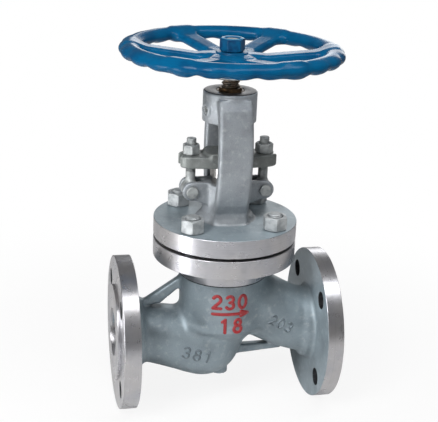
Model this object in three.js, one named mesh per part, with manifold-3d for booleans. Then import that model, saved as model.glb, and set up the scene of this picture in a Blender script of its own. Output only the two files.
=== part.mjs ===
// Flanged globe valve, outside screw and yoke, rising stem, handwheel on the stem.
// Millimetres. +Z runs up the stem, +X is the flow direction, -Y is the marked side.
// The origin is where the stem axis crosses the pipe axis. The valve is shown shut.
import * as THREE from 'three';
import { mergeVertices } from 'three/addons/utils/BufferGeometryUtils.js';
import Module from 'manifold-3d';

const wasm = await Module();
wasm.setup();

// ---- Clearances -------------------------------------------------------------
const FIT = 0.3;                    // between pieces that seat on or in each other
const CUT = 1;                      // how far a cutting solid runs past a face

// ---- Pipe ends: DN 50, PN 25 ------------------------------------------------
const FACE_TO_FACE = 230;
const PIPE_FLANGE_OD = 160;
const PIPE_FLANGE_THICK = 20;       // with the raised face
const RAISED_FACE_OD = 100;
const RAISED_FACE_HEIGHT = 3;
const PIPE_BOLT_CIRCLE = 125;
const PIPE_BOLT_HOLE = 18;
const PIPE_BOLT_COUNT = 4;
const HUB_OD = 72;                  // of the neck behind a pipe flange
const HUB_LENGTH = 12;

// ---- Body -------------------------------------------------------------------
const BORE = 50;
const WALL = 9;
const INLET_DROP = 16;              // how far the inlet passage dips below the pipe axis
const INLET_BEND_X = -8;            // where it ends, under the seat
const BRIDGE = 7;                   // metal between the inlet passage and the chamber floor
const CHAMBER_RADIUS = 36;
const NECK_SHOULDER = 4;            // the flare that carries the body flange
const RIB_THICK = 9;
const UPPER_RIB_TOP = 64;           // where the inlet side's rib meets the neck
const UPPER_RIB_DEPTH = 17;
const LOWER_RIB_DEPTH = 14.5;
const FOOT_RADIUS = 11.5;
const FOOT_DEPTH = 53.5;            // from the pipe axis down to the foot's face

// ---- Body and bonnet joint --------------------------------------------------
const BODY_TOP = 103;
const BODY_FLANGE_THICK = 19;
const JOINT_GAP = 3;                // open line between the two flanges
const BONNET_FLANGE_THICK = 18.5;
const BONNET_FLANGE_OD = 147;
const STUD_CIRCLE = 118;
const STUD = 14;
const STUD_COUNT = 4;
const STUD_PROJECTION = 2.4;        // above its nut
const SPIGOT_RADIUS = 47.7;
const SPIGOT_DEPTH = 5.7;
const GASKET_WIDTH = 9;
const GASKET_THICK = 1.7;

// ---- Trim -------------------------------------------------------------------
const PORT = 46;
const SEAT_WIDTH = 7;
const SEAT_RING_HEIGHT = 12.7;
const SEAT_STAND = 5;               // seat face above the chamber floor
const DISC_THICK = 11;
const DISC_HUB_HEIGHT = 12;
const LIFT = 15;

// ---- Stem, packing and gland ------------------------------------------------
const STEM = 18;
const PACKING_WIDTH = 6;
const PACKING_RING_HEIGHT = 5;
const PACKING_RINGS = 5;
const PACKING_WASHER_THICK = 2.7;
const BOX_WALL = 10;
const BOX_HEIGHT = 38.5;            // stuffing box above the bonnet flange
const GLAND_GAP = 17;               // from the stuffing box up to the gland flange
const GLAND_THICK = 12;
const GLAND_CROWN = 3.4;            // raised middle of the gland flange
const GLAND_CROWN_RADIUS = 26;
const GLAND_MIDDLE = 14;            // half the straight length of its sides
const GLAND_BOLT_OFFSET = 37.5;
const GLAND_BOLT = 10;
const GLAND_BOLT_END = 16.7;        // above the gland flange
const PIN = 8;
const PIN_DROP = 7.5;               // pin axis below the top of the stuffing box
const SPLIT_PIN = 2.6;
const EYE_RADIUS = 9;
const EYE_THICK = 12;
const EAR_RADIUS = 9.5;
const EAR_THICK = 6;
const PIN_TAIL = 7;                 // past the rear ear, for the split pin

// ---- Yoke -------------------------------------------------------------------
const ARM_WIDTH = 34;
const ARM_THICK = 12;
const YOKE_HEIGHT = 132.5;          // from the bonnet flange to the head's top
const YOKE_SHOULDER = 5;            // top of the arms, below the head's top
const ARM_BOW = 15;                 // how far the arms' middle stands out from their ends
const ARM_STEPS = 10;
const ARM_EDGE = 3;                 // rounding of the arms' outer corners
const HEAD_HEIGHT = 31;
const HEAD_RADIUS = 27;
const STEM_NUT_WALL = 5;
const STEM_NUT_COLLAR = 3;          // above the head
const SET_SCREW = 8;
const SET_SCREW_ANGLE = -160;       // degrees round the stem from +X
const SET_SCREW_DROP = 18;          // below the head's top

// ---- Handwheel --------------------------------------------------------------
const WHEEL_OD = 221;
const RIM_WIDTH = 20;
const RIM_HEIGHT = 17;
const RIM_RISE = 26;                // middle of the rim above the hub's foot
const RIM_SIDES = 8;
const WHEEL_STAND = 13;             // wheel hub above the yoke head
const WHEEL_HUB_HEIGHT = 22.4;
const WHEEL_HUB_RADIUS = 28;
const SPOKES = 6;
const SPOKE_WIDTH = 17;
const SPOKE_THICK = 9;
const FIRST_SPOKE = -10;            // degrees round the stem from +X
const WHEEL_THREAD = 14;
const WASHER_THICK = 2.5;
const WHEEL_NUT_HEIGHT = 13;

// ---- What follows from those sizes ------------------------------------------
const HALF_LENGTH = FACE_TO_FACE / 2;
const FLANGE_BACK = HALF_LENGTH - PIPE_FLANGE_THICK;
const HUB_START = FLANGE_BACK - HUB_LENGTH;
const TUBE_RADIUS = BORE / 2 + WALL;
const NECK_RADIUS = CHAMBER_RADIUS + WALL;
const FLOOR_Z = BORE / 2 + BRIDGE - INLET_DROP;
const SEAT_Z = FLOOR_Z + SEAT_STAND;
const SEAT_RING_RADIUS = PORT / 2 + SEAT_WIDTH;
const BODY_FLANGE_BOTTOM = BODY_TOP - BODY_FLANGE_THICK;
const BONNET_BOTTOM = BODY_TOP + JOINT_GAP;
const BONNET_TOP = BONNET_BOTTOM + BONNET_FLANGE_THICK;
const SPIGOT_BOTTOM = BONNET_BOTTOM - SPIGOT_DEPTH;
const REGISTER_FLOOR = SPIGOT_BOTTOM - GASKET_THICK - 2 * FIT;
const BOX_TOP = BONNET_TOP + BOX_HEIGHT;
const STEM_RADIUS = STEM / 2;
const BOX_BORE = STEM_RADIUS + PACKING_WIDTH;
const BOX_FLOOR = BONNET_TOP - FIT;
const WASHER_TOP = BOX_FLOOR + FIT + PACKING_WASHER_THICK;
const PACKING_BOTTOM = WASHER_TOP + FIT;
const PACKING_TOP = PACKING_BOTTOM + PACKING_RINGS * PACKING_RING_HEIGHT;
const BOSS_RADIUS = BOX_BORE + BOX_WALL;
const GLAND_BOTTOM = BOX_TOP + GLAND_GAP;
const GLAND_TOP = GLAND_BOTTOM + GLAND_THICK;
const PIN_Z = BOX_TOP - PIN_DROP;
const WINDOW_HALF = BOX_BORE + 4;
const ARM_OUTER = HEAD_RADIUS;
const ARM_INNER = ARM_OUTER - ARM_THICK;
const GLAND_HALF_WIDTH = WINDOW_HALF - 2;
const HEAD_TOP = BONNET_TOP + YOKE_HEIGHT;
const HEAD_BOTTOM = HEAD_TOP - HEAD_HEIGHT;
const STEM_NUT_RADIUS = STEM_RADIUS + STEM_NUT_WALL;
const BUSH_RADIUS = BOX_BORE;
const BUSH_HEIGHT = 12;
const BUSH_BOTTOM = SPIGOT_BOTTOM - 8;
const BUSH_MOUTH = 4;               // depth and width of its conical mouth
const DISC_BOTTOM = SEAT_Z + FIT;
const DISC_RADIUS = SEAT_RING_RADIUS - 0.5;
const DISC_HUB_BORE = STEM_RADIUS + 6;
const STEM_BOTTOM = DISC_BOTTOM + DISC_THICK + FIT;
const STEM_HEAD_HEIGHT = 6;
const DISC_NUT_BOTTOM = STEM_BOTTOM + STEM_HEAD_HEIGHT + FIT;
const DISC_HUB_TOP = DISC_BOTTOM + DISC_THICK + DISC_HUB_HEIGHT;
const WHEEL_HUB_BOTTOM = HEAD_TOP + WHEEL_STAND;
const WHEEL_HUB_TOP = WHEEL_HUB_BOTTOM + WHEEL_HUB_HEIGHT;
const RIM_Z = WHEEL_HUB_BOTTOM + RIM_RISE;
const WHEEL_NUT_BOTTOM = WHEEL_HUB_TOP + WASHER_THICK + 2 * FIT;
const WHEEL_NUT_TOP = WHEEL_NUT_BOTTOM + WHEEL_NUT_HEIGHT;

// A nut's proportions by its thread: across flats and height.
const nutFlats = (thread) => 1.5 * thread + 1;
const nutHeight = (thread) => thread;

// ---- Materials --------------------------------------------------------------
function finish(color, roughness, metalness) {
  return new THREE.MeshStandardMaterial({ color, roughness, metalness });
}

const castPaint = finish(0x8b9a9e, 0.55, 0.35);
const machinedSteel = finish(0xc4c6c6, 0.3, 0.9);
const zincSteel = finish(0xb4b8b8, 0.4, 0.8);
const darkCasting = finish(0x6f7876, 0.7, 0.4);
const wheelEnamel = finish(0x0c64a4, 0.25, 0.1);
const brass = finish(0xa98242, 0.35, 0.85);
const stainless = finish(0xa9a49a, 0.3, 0.9);
const graphite = finish(0x2b2c2d, 0.8, 0.1);

// ---- Solids from three.js geometries ----------------------------------------
function solid(geometry) {
  geometry.deleteAttribute('normal');
  geometry.deleteAttribute('uv');
  const merged = mergeVertices(geometry, 1e-4);
  const corners = merged.index.array;
  const kept = [];
  for (let i = 0; i < corners.length; i += 3) {
    const [a, b, c] = [corners[i], corners[i + 1], corners[i + 2]];
    if (a !== b && b !== c && c !== a) kept.push(a, b, c);
  }
  const mesh = new wasm.Mesh({
    numProp: 3,
    vertProperties: Float32Array.from(merged.attributes.position.array),
    triVerts: Uint32Array.from(kept),
  });
  return new wasm.Manifold(mesh);
}

function geometryOf(body) {
  const mesh = body.getMesh();
  const geometry = new THREE.BufferGeometry();
  geometry.setAttribute('position', new THREE.BufferAttribute(mesh.vertProperties, 3));
  geometry.setIndex(new THREE.BufferAttribute(mesh.triVerts, 1));
  geometry.computeVertexNormals();
  return geometry;
}

const joined = (first, ...others) => others.reduce((sum, other) => sum.add(other), first);
const without = (first, ...others) => others.reduce((rest, other) => rest.subtract(other), first);

// A profile of [radius, height] pairs turned round +Z. It runs up the outer side.
function turnedGeometry(profile, segments) {
  const points = profile.map(([radius, height]) => new THREE.Vector2(radius, height));
  return new THREE.LatheGeometry(points, segments).rotateX(Math.PI / 2);
}

function turned(profile, segments = 28) {
  return solid(turnedGeometry(profile, segments));
}

// The same, round +X or -X by side = 1 or -1, with heights measured along that axis.
function turnedAlongX(profile, side, segments = 40) {
  return solid(turnedGeometry(profile, segments).rotateY(side * Math.PI / 2));
}

function ring(inner, outer, bottom, top, segments = 28) {
  const profile = [[inner, bottom], [outer, bottom], [outer, top], [inner, top], [inner, bottom]];
  return turned(profile, segments);
}

function rodGeometry(radius, bottom, top, segments) {
  return new THREE.CylinderGeometry(radius, radius, top - bottom, segments)
    .rotateX(Math.PI / 2)
    .translate(0, 0, (top + bottom) / 2);
}

function rod(radius, bottom, top, x = 0, y = 0, segments = 28) {
  return solid(rodGeometry(radius, bottom, top, segments).translate(x, y, 0));
}

function rodAlongY(radius, from, to, x, z, segments = 20) {
  const geometry = rodGeometry(radius, from, to, segments).rotateX(-Math.PI / 2);
  return solid(geometry.translate(x, 0, z));
}

function hexagon(flats, bottom, top, x = 0, y = 0, turn = 0) {
  const corner = flats / 2 / Math.cos(Math.PI / 6);
  const geometry = rodGeometry(corner, bottom, top, 6).rotateZ(turn);
  return solid(geometry.translate(x, y, 0));
}

function block(x0, x1, y0, y1, z0, z1) {
  const geometry = new THREE.BoxGeometry(x1 - x0, y1 - y0, z1 - z0);
  return solid(geometry.translate((x0 + x1) / 2, (y0 + y1) / 2, (z0 + z1) / 2));
}

// A plate whose outline lies in the XZ plane, thick along Y, then turned round +Z.
function plate(shape, thickness, turn = 0, shift = 0) {
  const options = { depth: thickness, bevelEnabled: false, curveSegments: 12 };
  const geometry = new THREE.ExtrudeGeometry(shape, options)
    .rotateX(Math.PI / 2)
    .translate(0, thickness / 2 + shift, 0)
    .rotateZ(turn);
  return solid(geometry);
}

function outline(points) {
  return new THREE.Shape(points.map(([x, z]) => new THREE.Vector2(x, z)));
}

// A round bar along a curve in the XZ plane.
function sweep(points, radius, steps = 7, halfSides = 10) {
  const path = new THREE.CubicBezierCurve3(...points.map(([x, z]) => new THREE.Vector3(x, 0, z)));
  const section = new THREE.Shape().absarc(0, 0, radius, 0, 2 * Math.PI);
  const options = { steps, extrudePath: path, bevelEnabled: false, curveSegments: halfSides };
  return solid(new THREE.ExtrudeGeometry(section, options));
}

function ball(radius, x, z) {
  return solid(new THREE.SphereGeometry(radius, 20, 12).translate(x, 0, z));
}

// Places round the stem for a pattern of equal angles, offset from +X.
function placesRound(count, radius, firstAngle) {
  return Array.from({ length: count }, (_, i) => {
    const angle = firstAngle + (2 * Math.PI * i) / count;
    return [radius * Math.cos(angle), radius * Math.sin(angle)];
  });
}

const studPlaces = placesRound(STUD_COUNT, STUD_CIRCLE / 2, Math.PI / STUD_COUNT);

// ---- Body -------------------------------------------------------------------
// Passage centre lines, as the four control points of a curve in the XZ plane.
// The reach says how far the pipe end runs past the flange's middle.
function inletLine(reach) {
  return [
    [-HALF_LENGTH - reach, 0],
    [-NECK_RADIUS - 15, 0],
    [-NECK_RADIUS, -INLET_DROP],
    [INLET_BEND_X, -INLET_DROP],
  ];
}

function outletLine(reach) {
  const start = FLOOR_Z + BORE / 2 - 1;
  return [[10, start], [NECK_RADIUS, start - 14], [NECK_RADIUS + 25, 0], [HALF_LENGTH + reach, 0]];
}

// A pipe flange with its hub and bore. It starts a fit away from the body's tube.
function pipeFlange(side) {
  const shoulder = HALF_LENGTH - RAISED_FACE_HEIGHT;
  const disc = turnedAlongX([
    [0, HUB_START],
    [TUBE_RADIUS, HUB_START],
    [HUB_OD / 2, FLANGE_BACK - HUB_LENGTH / 3],
    [HUB_OD / 2, FLANGE_BACK],
    [PIPE_FLANGE_OD / 2, FLANGE_BACK],
    [PIPE_FLANGE_OD / 2, shoulder],
    [RAISED_FACE_OD / 2, shoulder],
    [RAISED_FACE_OD / 2, HALF_LENGTH],
    [0, HALF_LENGTH],
  ], side);
  const places = placesRound(PIPE_BOLT_COUNT, PIPE_BOLT_CIRCLE / 2, Math.PI / PIPE_BOLT_COUNT);
  const drilled = (radius, y, z, segments) =>
    solid(rodGeometry(radius, HUB_START - CUT, HALF_LENGTH + CUT, segments)
      .rotateY(side * Math.PI / 2)
      .translate(0, y, z));
  const holes = places.map(([y, z]) => drilled(PIPE_BOLT_HOLE / 2, y, z, 16));
  return without(disc, drilled(BORE / 2, 0, 0, 40), ...holes);
}

function bodyShell() {
  const bowl = turned([
    [0, -INLET_DROP - 22],
    [14, -INLET_DROP - 22],
    [24, -INLET_DROP - 8],
    [30, -INLET_DROP + 6],
    [TUBE_RADIUS + 1, -4],
    [NECK_RADIUS - 3, 4],
    [NECK_RADIUS, 11],
    [NECK_RADIUS, BODY_FLANGE_BOTTOM - FIT - NECK_SHOULDER],
    [NECK_RADIUS + NECK_SHOULDER, BODY_FLANGE_BOTTOM - FIT],
    [NECK_RADIUS, BODY_FLANGE_BOTTOM - FIT],
    [NECK_RADIUS, REGISTER_FLOOR],
    [0, REGISTER_FLOOR],
  ], 44);
  const inlet = sweep(inletLine(-PIPE_FLANGE_THICK / 2), TUBE_RADIUS);
  const bulb = ball(BORE / 2 + 3 + WALL, INLET_BEND_X, -INLET_DROP + 1);
  const outlet = sweep(outletLine(-PIPE_FLANGE_THICK / 2), TUBE_RADIUS);
  const foot = rod(FOOT_RADIUS, -FOOT_DEPTH, -INLET_DROP - BORE / 2 - 2, 0, 0, 28);
  return joined(bowl, inlet, bulb, outlet, foot);
}

// The two web bars in the plane of the pipe: inlet side up to the body flange,
// outlet side under the outlet passage.
function bodyRibs() {
  const hub = HUB_START + 4;
  const upper = plate(outline([
    [-hub, TUBE_RADIUS - 3],
    [-NECK_RADIUS + 4, UPPER_RIB_TOP - UPPER_RIB_DEPTH],
    [-NECK_RADIUS + 4, UPPER_RIB_TOP],
    [-hub, TUBE_RADIUS + 1],
  ]), RIB_THICK);
  const lower = plate(outline([
    [16, -INLET_DROP - LOWER_RIB_DEPTH],
    [hub - 20, -INLET_DROP - LOWER_RIB_DEPTH + 5.5],
    [hub - 32, -INLET_DROP],
    [20, -INLET_DROP],
  ]), RIB_THICK);
  return joined(upper, lower);
}

function bodyHollow() {
  const inlet = sweep(inletLine(CUT), BORE / 2);
  const bulb = ball(BORE / 2 + 3, INLET_BEND_X, -INLET_DROP + 1);
  const port = rod(PORT / 2, -INLET_DROP, SEAT_Z, 0, 0, 32);
  const pocketFloor = SEAT_Z - SEAT_RING_HEIGHT - FIT;
  const pocket = rod(SEAT_RING_RADIUS + FIT, pocketFloor, SEAT_Z, 0, 0, 32);
  const seatLand = rod(SEAT_RING_RADIUS + 4, -TUBE_RADIUS, FLOOR_Z, 0, 0, 32);
  const outlet = sweep(outletLine(CUT), BORE / 2).subtract(seatLand);
  const chamber = rod(CHAMBER_RADIUS, FLOOR_Z, BODY_TOP, 0, 0, 32);
  return joined(inlet, bulb, port, pocket, outlet, chamber);
}

function valveBody() {
  const ends = [-1, 1].map((side) => {
    const [near, far] = [side * (HUB_START - FIT), side * (HALF_LENGTH + CUT)];
    return block(Math.min(near, far), Math.max(near, far), -HUB_OD, HUB_OD, -HUB_OD, HUB_OD);
  });
  return without(joined(bodyShell(), bodyRibs()), bodyHollow(), ...ends);
}

// The body's bolting flange round the top of the neck, with its register and tapped holes.
function bodyFlange() {
  const plain = ring(NECK_RADIUS + FIT, BONNET_FLANGE_OD / 2, BODY_FLANGE_BOTTOM, BODY_TOP, 44);
  const register = rod(SPIGOT_RADIUS + FIT, REGISTER_FLOOR, BODY_TOP + CUT, 0, 0, 40);
  const tapped = studPlaces.map(([x, y]) =>
    rod(STUD / 2 + FIT, BODY_FLANGE_BOTTOM - CUT, BODY_TOP + CUT, x, y, 16));
  return without(plain, register, ...tapped);
}

// ---- Body trim --------------------------------------------------------------
function seatRing() {
  return turned([
    [PORT / 2, SEAT_Z - SEAT_RING_HEIGHT],
    [SEAT_RING_RADIUS, SEAT_Z - SEAT_RING_HEIGHT],
    [SEAT_RING_RADIUS, SEAT_Z - 1.5],
    [SEAT_RING_RADIUS - 1.5, SEAT_Z],
    [PORT / 2 + 1, SEAT_Z],
    [PORT / 2, SEAT_Z - 1],
    [PORT / 2, SEAT_Z - SEAT_RING_HEIGHT],
  ]);
}

function gasket() {
  const top = SPIGOT_BOTTOM - FIT;
  return ring(SPIGOT_RADIUS - GASKET_WIDTH, SPIGOT_RADIUS, top - GASKET_THICK, top, 40);
}

function backseatBush() {
  return turned([
    [STEM_RADIUS + FIT + BUSH_MOUTH, BUSH_BOTTOM],
    [BUSH_RADIUS, BUSH_BOTTOM],
    [BUSH_RADIUS, BUSH_BOTTOM + BUSH_HEIGHT],
    [STEM_RADIUS + FIT, BUSH_BOTTOM + BUSH_HEIGHT],
    [STEM_RADIUS + FIT, BUSH_BOTTOM + BUSH_MOUTH],
    [STEM_RADIUS + FIT + BUSH_MOUTH, BUSH_BOTTOM],
  ]);
}

function packingRing(index) {
  const bottom = PACKING_BOTTOM + index * PACKING_RING_HEIGHT;
  const top = bottom + PACKING_RING_HEIGHT - FIT;
  return ring(STEM_RADIUS + FIT, BOX_BORE, bottom, top);
}

function packingWasher() {
  return ring(STEM_RADIUS + FIT, BOX_BORE, BOX_FLOOR + FIT, WASHER_TOP);
}

// ---- Bonnet with its yoke ---------------------------------------------------
function earOutline(side) {
  const shape = new THREE.Shape();
  const root = side * (BOSS_RADIUS - 5);
  shape.moveTo(root, PIN_Z + EAR_RADIUS);
  shape.lineTo(root, PIN_Z - EAR_RADIUS - 6);
  shape.lineTo(side * (GLAND_BOLT_OFFSET - 4), PIN_Z - EAR_RADIUS);
  shape.absarc(side * GLAND_BOLT_OFFSET, PIN_Z, EAR_RADIUS, -Math.PI / 2, Math.PI / 2, side < 0);
  return shape;
}

// An arm's side view: a bar of even thickness that bows outwards between foot and head.
function armOutline(inset) {
  const foot = BONNET_TOP + 12;
  const top = HEAD_TOP - YOKE_SHOULDER;
  const outside = [[ARM_OUTER, BONNET_TOP - 2]];
  const inside = [[ARM_INNER, BONNET_TOP - 2]];
  for (let step = 0; step <= ARM_STEPS; step += 1) {
    const share = step / ARM_STEPS;
    const bow = ARM_BOW * Math.max(Math.sin(Math.PI * share), 0) ** 0.7;
    const z = foot + (top - foot) * share;
    outside.push([ARM_OUTER + bow - inset, z]);
    inside.unshift([ARM_INNER + bow, z]);
  }
  return outline([...inside, ...outside]);
}

function yokeArm(turn) {
  const middle = plate(armOutline(0), ARM_WIDTH - 2 * ARM_EDGE, turn);
  return joined(middle, plate(armOutline(ARM_EDGE), ARM_WIDTH, turn));
}

function ears(side) {
  const inner = EYE_THICK / 2 + FIT;
  const shift = inner + EAR_THICK / 2;
  const shape = earOutline(side);
  return joined(plate(shape, EAR_THICK, 0, shift), plate(shape, EAR_THICK, 0, -shift));
}

function setScrewGeometry(radius, from, to) {
  const angle = THREE.MathUtils.degToRad(SET_SCREW_ANGLE);
  return rodGeometry(radius, from, to, 20)
    .rotateY(Math.PI / 2)
    .rotateZ(angle)
    .translate(0, 0, HEAD_TOP - SET_SCREW_DROP);
}

function bonnetShell() {
  const hubRadius = BUSH_RADIUS + 9;
  const column = turned([
    [0, BUSH_BOTTOM],
    [hubRadius, BUSH_BOTTOM],
    [hubRadius, SPIGOT_BOTTOM],
    [SPIGOT_RADIUS, SPIGOT_BOTTOM],
    [SPIGOT_RADIUS, BONNET_BOTTOM],
    [BONNET_FLANGE_OD / 2, BONNET_BOTTOM],
    [BONNET_FLANGE_OD / 2, BONNET_TOP],
    [BOSS_RADIUS + 8, BONNET_TOP],
    [BOSS_RADIUS + 4, BONNET_TOP + 4],
    [BOSS_RADIUS, BONNET_TOP + 12],
    [BOSS_RADIUS, BOX_TOP],
    [0, BOX_TOP],
  ], 44);
  const head = ring(STEM_NUT_RADIUS, HEAD_RADIUS, HEAD_BOTTOM, HEAD_TOP, 36);
  const screwBoss = solid(setScrewGeometry(SET_SCREW / 2 + 3, STEM_NUT_RADIUS + 4, HEAD_RADIUS + 2.7));
  const arms = joined(yokeArm(Math.PI / 2), yokeArm(-Math.PI / 2));
  return joined(column, head, screwBoss, arms, ears(1), ears(-1));
}

function bonnet() {
  const bushTop = BUSH_BOTTOM + BUSH_HEIGHT;
  const stemBore = rod(STEM_RADIUS + FIT, BUSH_BOTTOM - CUT, BOX_TOP + CUT);
  const bushBore = rod(BUSH_RADIUS + FIT, BUSH_BOTTOM - CUT, bushTop + FIT);
  const boxBore = rod(BOX_BORE + FIT, BOX_FLOOR, BOX_TOP + CUT);
  const nutBore = rod(STEM_NUT_RADIUS + FIT, HEAD_BOTTOM - CUT, HEAD_TOP + CUT);
  const screwHole = solid(setScrewGeometry(SET_SCREW / 2 + FIT, STEM_NUT_RADIUS, HEAD_RADIUS + 5));
  const studHoles = studPlaces.map(([x, y]) =>
    rod(STUD / 2 + 1, BONNET_BOTTOM - CUT, BONNET_TOP + CUT, x, y, 16));
  const pinHoles = [1, -1].map((side) =>
    rodAlongY(PIN / 2 + FIT, -ARM_OUTER, ARM_OUTER, side * GLAND_BOLT_OFFSET, PIN_Z));
  return without(bonnetShell(), stemBore, bushBore, boxBore, nutBore, screwHole,
    ...studHoles, ...pinHoles);
}

// ---- Stem nut in the yoke head ----------------------------------------------
function stemNut() {
  const bore = STEM_RADIUS + FIT;
  return turned([
    [bore, HEAD_BOTTOM + 2],
    [STEM_NUT_RADIUS, HEAD_BOTTOM + 2],
    [STEM_NUT_RADIUS, HEAD_TOP],
    [bore + 2.2, HEAD_TOP],
    [bore + 2.2, HEAD_TOP + STEM_NUT_COLLAR],
    [bore, HEAD_TOP + STEM_NUT_COLLAR],
    [bore, HEAD_BOTTOM + 2],
  ], 28);
}

function setScrew() {
  const body = solid(setScrewGeometry(SET_SCREW / 2, STEM_NUT_RADIUS + FIT, HEAD_RADIUS + 1.7));
  const socket = solid(setScrewGeometry(SET_SCREW / 4, HEAD_RADIUS - 2, HEAD_RADIUS + 3));
  return body.subtract(socket);
}

// ---- Studs and nuts ---------------------------------------------------------
function stud([x, y]) {
  const top = BONNET_TOP + FIT + nutHeight(STUD) + STUD_PROJECTION;
  return rod(STUD / 2, BODY_FLANGE_BOTTOM + 1, top, x, y, 24);
}

function studNut([x, y]) {
  const bottom = BONNET_TOP + FIT;
  const top = bottom + nutHeight(STUD);
  const turn = Math.atan2(y, x);
  const blank = hexagon(nutFlats(STUD), bottom, top, x, y, turn);
  return blank.subtract(rod(STUD / 2 + FIT, bottom - CUT, top + CUT, x, y, 24));
}

// ---- Gland ------------------------------------------------------------------
function glandFollower() {
  const bore = STEM_RADIUS + FIT;
  const collar = BOX_BORE + 2;
  return turned([
    [bore, PACKING_TOP],
    [BOX_BORE, PACKING_TOP],
    [BOX_BORE, BOX_TOP + 4],
    [collar, BOX_TOP + 6],
    [collar, GLAND_BOTTOM - FIT],
    [bore, GLAND_BOTTOM - FIT],
    [bore, PACKING_TOP],
  ], 28);
}

// Seen from above: two rounded ends round the bolts, widening to the middle.
function glandOutline() {
  const end = GLAND_BOLT + 3.5;
  const shape = new THREE.Shape();
  shape.moveTo(GLAND_BOLT_OFFSET, end);
  shape.lineTo(GLAND_MIDDLE, GLAND_HALF_WIDTH);
  shape.lineTo(-GLAND_MIDDLE, GLAND_HALF_WIDTH);
  shape.lineTo(-GLAND_BOLT_OFFSET, end);
  shape.absarc(-GLAND_BOLT_OFFSET, 0, end, Math.PI / 2, 3 * Math.PI / 2, false);
  shape.lineTo(-GLAND_MIDDLE, -GLAND_HALF_WIDTH);
  shape.lineTo(GLAND_MIDDLE, -GLAND_HALF_WIDTH);
  shape.lineTo(GLAND_BOLT_OFFSET, -end);
  shape.absarc(GLAND_BOLT_OFFSET, 0, end, -Math.PI / 2, Math.PI / 2, false);
  return shape;
}

function glandFlange() {
  const options = { depth: GLAND_THICK, bevelEnabled: false, curveSegments: 14 };
  const slab = new THREE.ExtrudeGeometry(glandOutline(), options).translate(0, 0, GLAND_BOTTOM);
  const crownTop = GLAND_TOP + GLAND_CROWN;
  const reach = GLAND_CROWN_RADIUS + CUT;
  const crown = rod(GLAND_CROWN_RADIUS, GLAND_TOP - 2, crownTop, 0, 0, 36)
    .intersect(block(-reach, reach, -GLAND_HALF_WIDTH, GLAND_HALF_WIDTH, GLAND_BOTTOM, crownTop));
  const slot = GLAND_BOLT / 2 + 0.7;
  const cuts = [1, -1].flatMap((side) => {
    const near = side * GLAND_BOLT_OFFSET;
    const far = side * (GLAND_BOLT_OFFSET + GLAND_BOLT * 2);
    const mouth = block(Math.min(near, far), Math.max(near, far), -slot, slot,
      GLAND_BOTTOM - CUT, GLAND_TOP + CUT);
    return [rod(slot, GLAND_BOTTOM - CUT, GLAND_TOP + CUT, near, 0, 24), mouth];
  });
  const bore = rod(STEM_RADIUS + 2 * FIT, GLAND_BOTTOM - CUT, crownTop + CUT);
  return without(joined(solid(slab), crown), bore, ...cuts);
}

// An eye round its pin with a threaded shank up through the gland flange's slot.
function eyeBolt(side) {
  const x = side * GLAND_BOLT_OFFSET;
  const eye = rodAlongY(EYE_RADIUS, -EYE_THICK / 2, EYE_THICK / 2, x, PIN_Z, 28);
  const shank = rod(GLAND_BOLT / 2, PIN_Z, GLAND_TOP + GLAND_BOLT_END, x, 0, 24);
  const pinBore = rodAlongY(PIN / 2 + FIT, -EYE_THICK, EYE_THICK, x, PIN_Z);
  return joined(eye, shank).subtract(pinBore);
}

function glandNut(side) {
  const x = side * GLAND_BOLT_OFFSET;
  const bottom = GLAND_TOP + FIT;
  const top = bottom + nutHeight(GLAND_BOLT);
  const blank = hexagon(nutFlats(GLAND_BOLT), bottom, top, x, 0, Math.PI / 6);
  return blank.subtract(rod(GLAND_BOLT / 2 + FIT, bottom - CUT, top + CUT, x, 0, 24));
}

function earDepth() {
  return EYE_THICK / 2 + FIT + EAR_THICK;
}

function hingePin(side) {
  const x = side * GLAND_BOLT_OFFSET;
  const front = -earDepth() - FIT;
  const head = rodAlongY(PIN / 2 + 2.2, front - 3.5, front, x, PIN_Z);
  const shank = rodAlongY(PIN / 2, front - 1, earDepth() + PIN_TAIL, x, PIN_Z);
  const hole = rod(SPLIT_PIN / 2 + FIT, PIN_Z - PIN, PIN_Z + PIN, x, earDepth() + PIN_TAIL / 2, 12);
  return joined(head, shank).subtract(hole);
}

// A split pin through the tail of a hinge pin: a straight leg with a round eye.
function splitPin(side) {
  const x = side * GLAND_BOLT_OFFSET;
  const y = earDepth() + PIN_TAIL / 2;
  const top = PIN_Z + PIN / 2 + FIT;
  const leg = rod(SPLIT_PIN / 2, PIN_Z - PIN / 2 - 4, top + 1, x, y, 12);
  const eye = solid(new THREE.TorusGeometry(SPLIT_PIN * 0.8, SPLIT_PIN * 0.4, 6, 14)
    .rotateY(Math.PI / 2)
    .translate(x, y, top + SPLIT_PIN * 1.1));
  return joined(leg, eye);
}

// ---- Disc and stem ----------------------------------------------------------
function disc() {
  const top = DISC_BOTTOM + DISC_THICK;
  return turned([
    [0, DISC_BOTTOM - 3],
    [PORT / 2 - 2.5, DISC_BOTTOM - 3],
    [PORT / 2 - 0.8, DISC_BOTTOM],
    [DISC_RADIUS - 1, DISC_BOTTOM],
    [DISC_RADIUS, DISC_BOTTOM + 1],
    [DISC_RADIUS, top - 2],
    [DISC_RADIUS - 2, top],
    [DISC_HUB_BORE + 4, top],
    [DISC_HUB_BORE + 4, DISC_HUB_TOP],
    [DISC_HUB_BORE, DISC_HUB_TOP],
    [DISC_HUB_BORE, top],
    [0, top],
  ]);
}

function discNut() {
  const bore = STEM_RADIUS + FIT;
  const thread = ring(bore, DISC_HUB_BORE - FIT, DISC_NUT_BOTTOM, DISC_HUB_TOP + FIT + 1);
  const head = hexagon(2 * DISC_HUB_BORE + 4, DISC_HUB_TOP + FIT, DISC_HUB_TOP + FIT + 5);
  return joined(thread, head.subtract(rod(bore, DISC_HUB_TOP, DISC_HUB_TOP + 10)));
}

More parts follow.
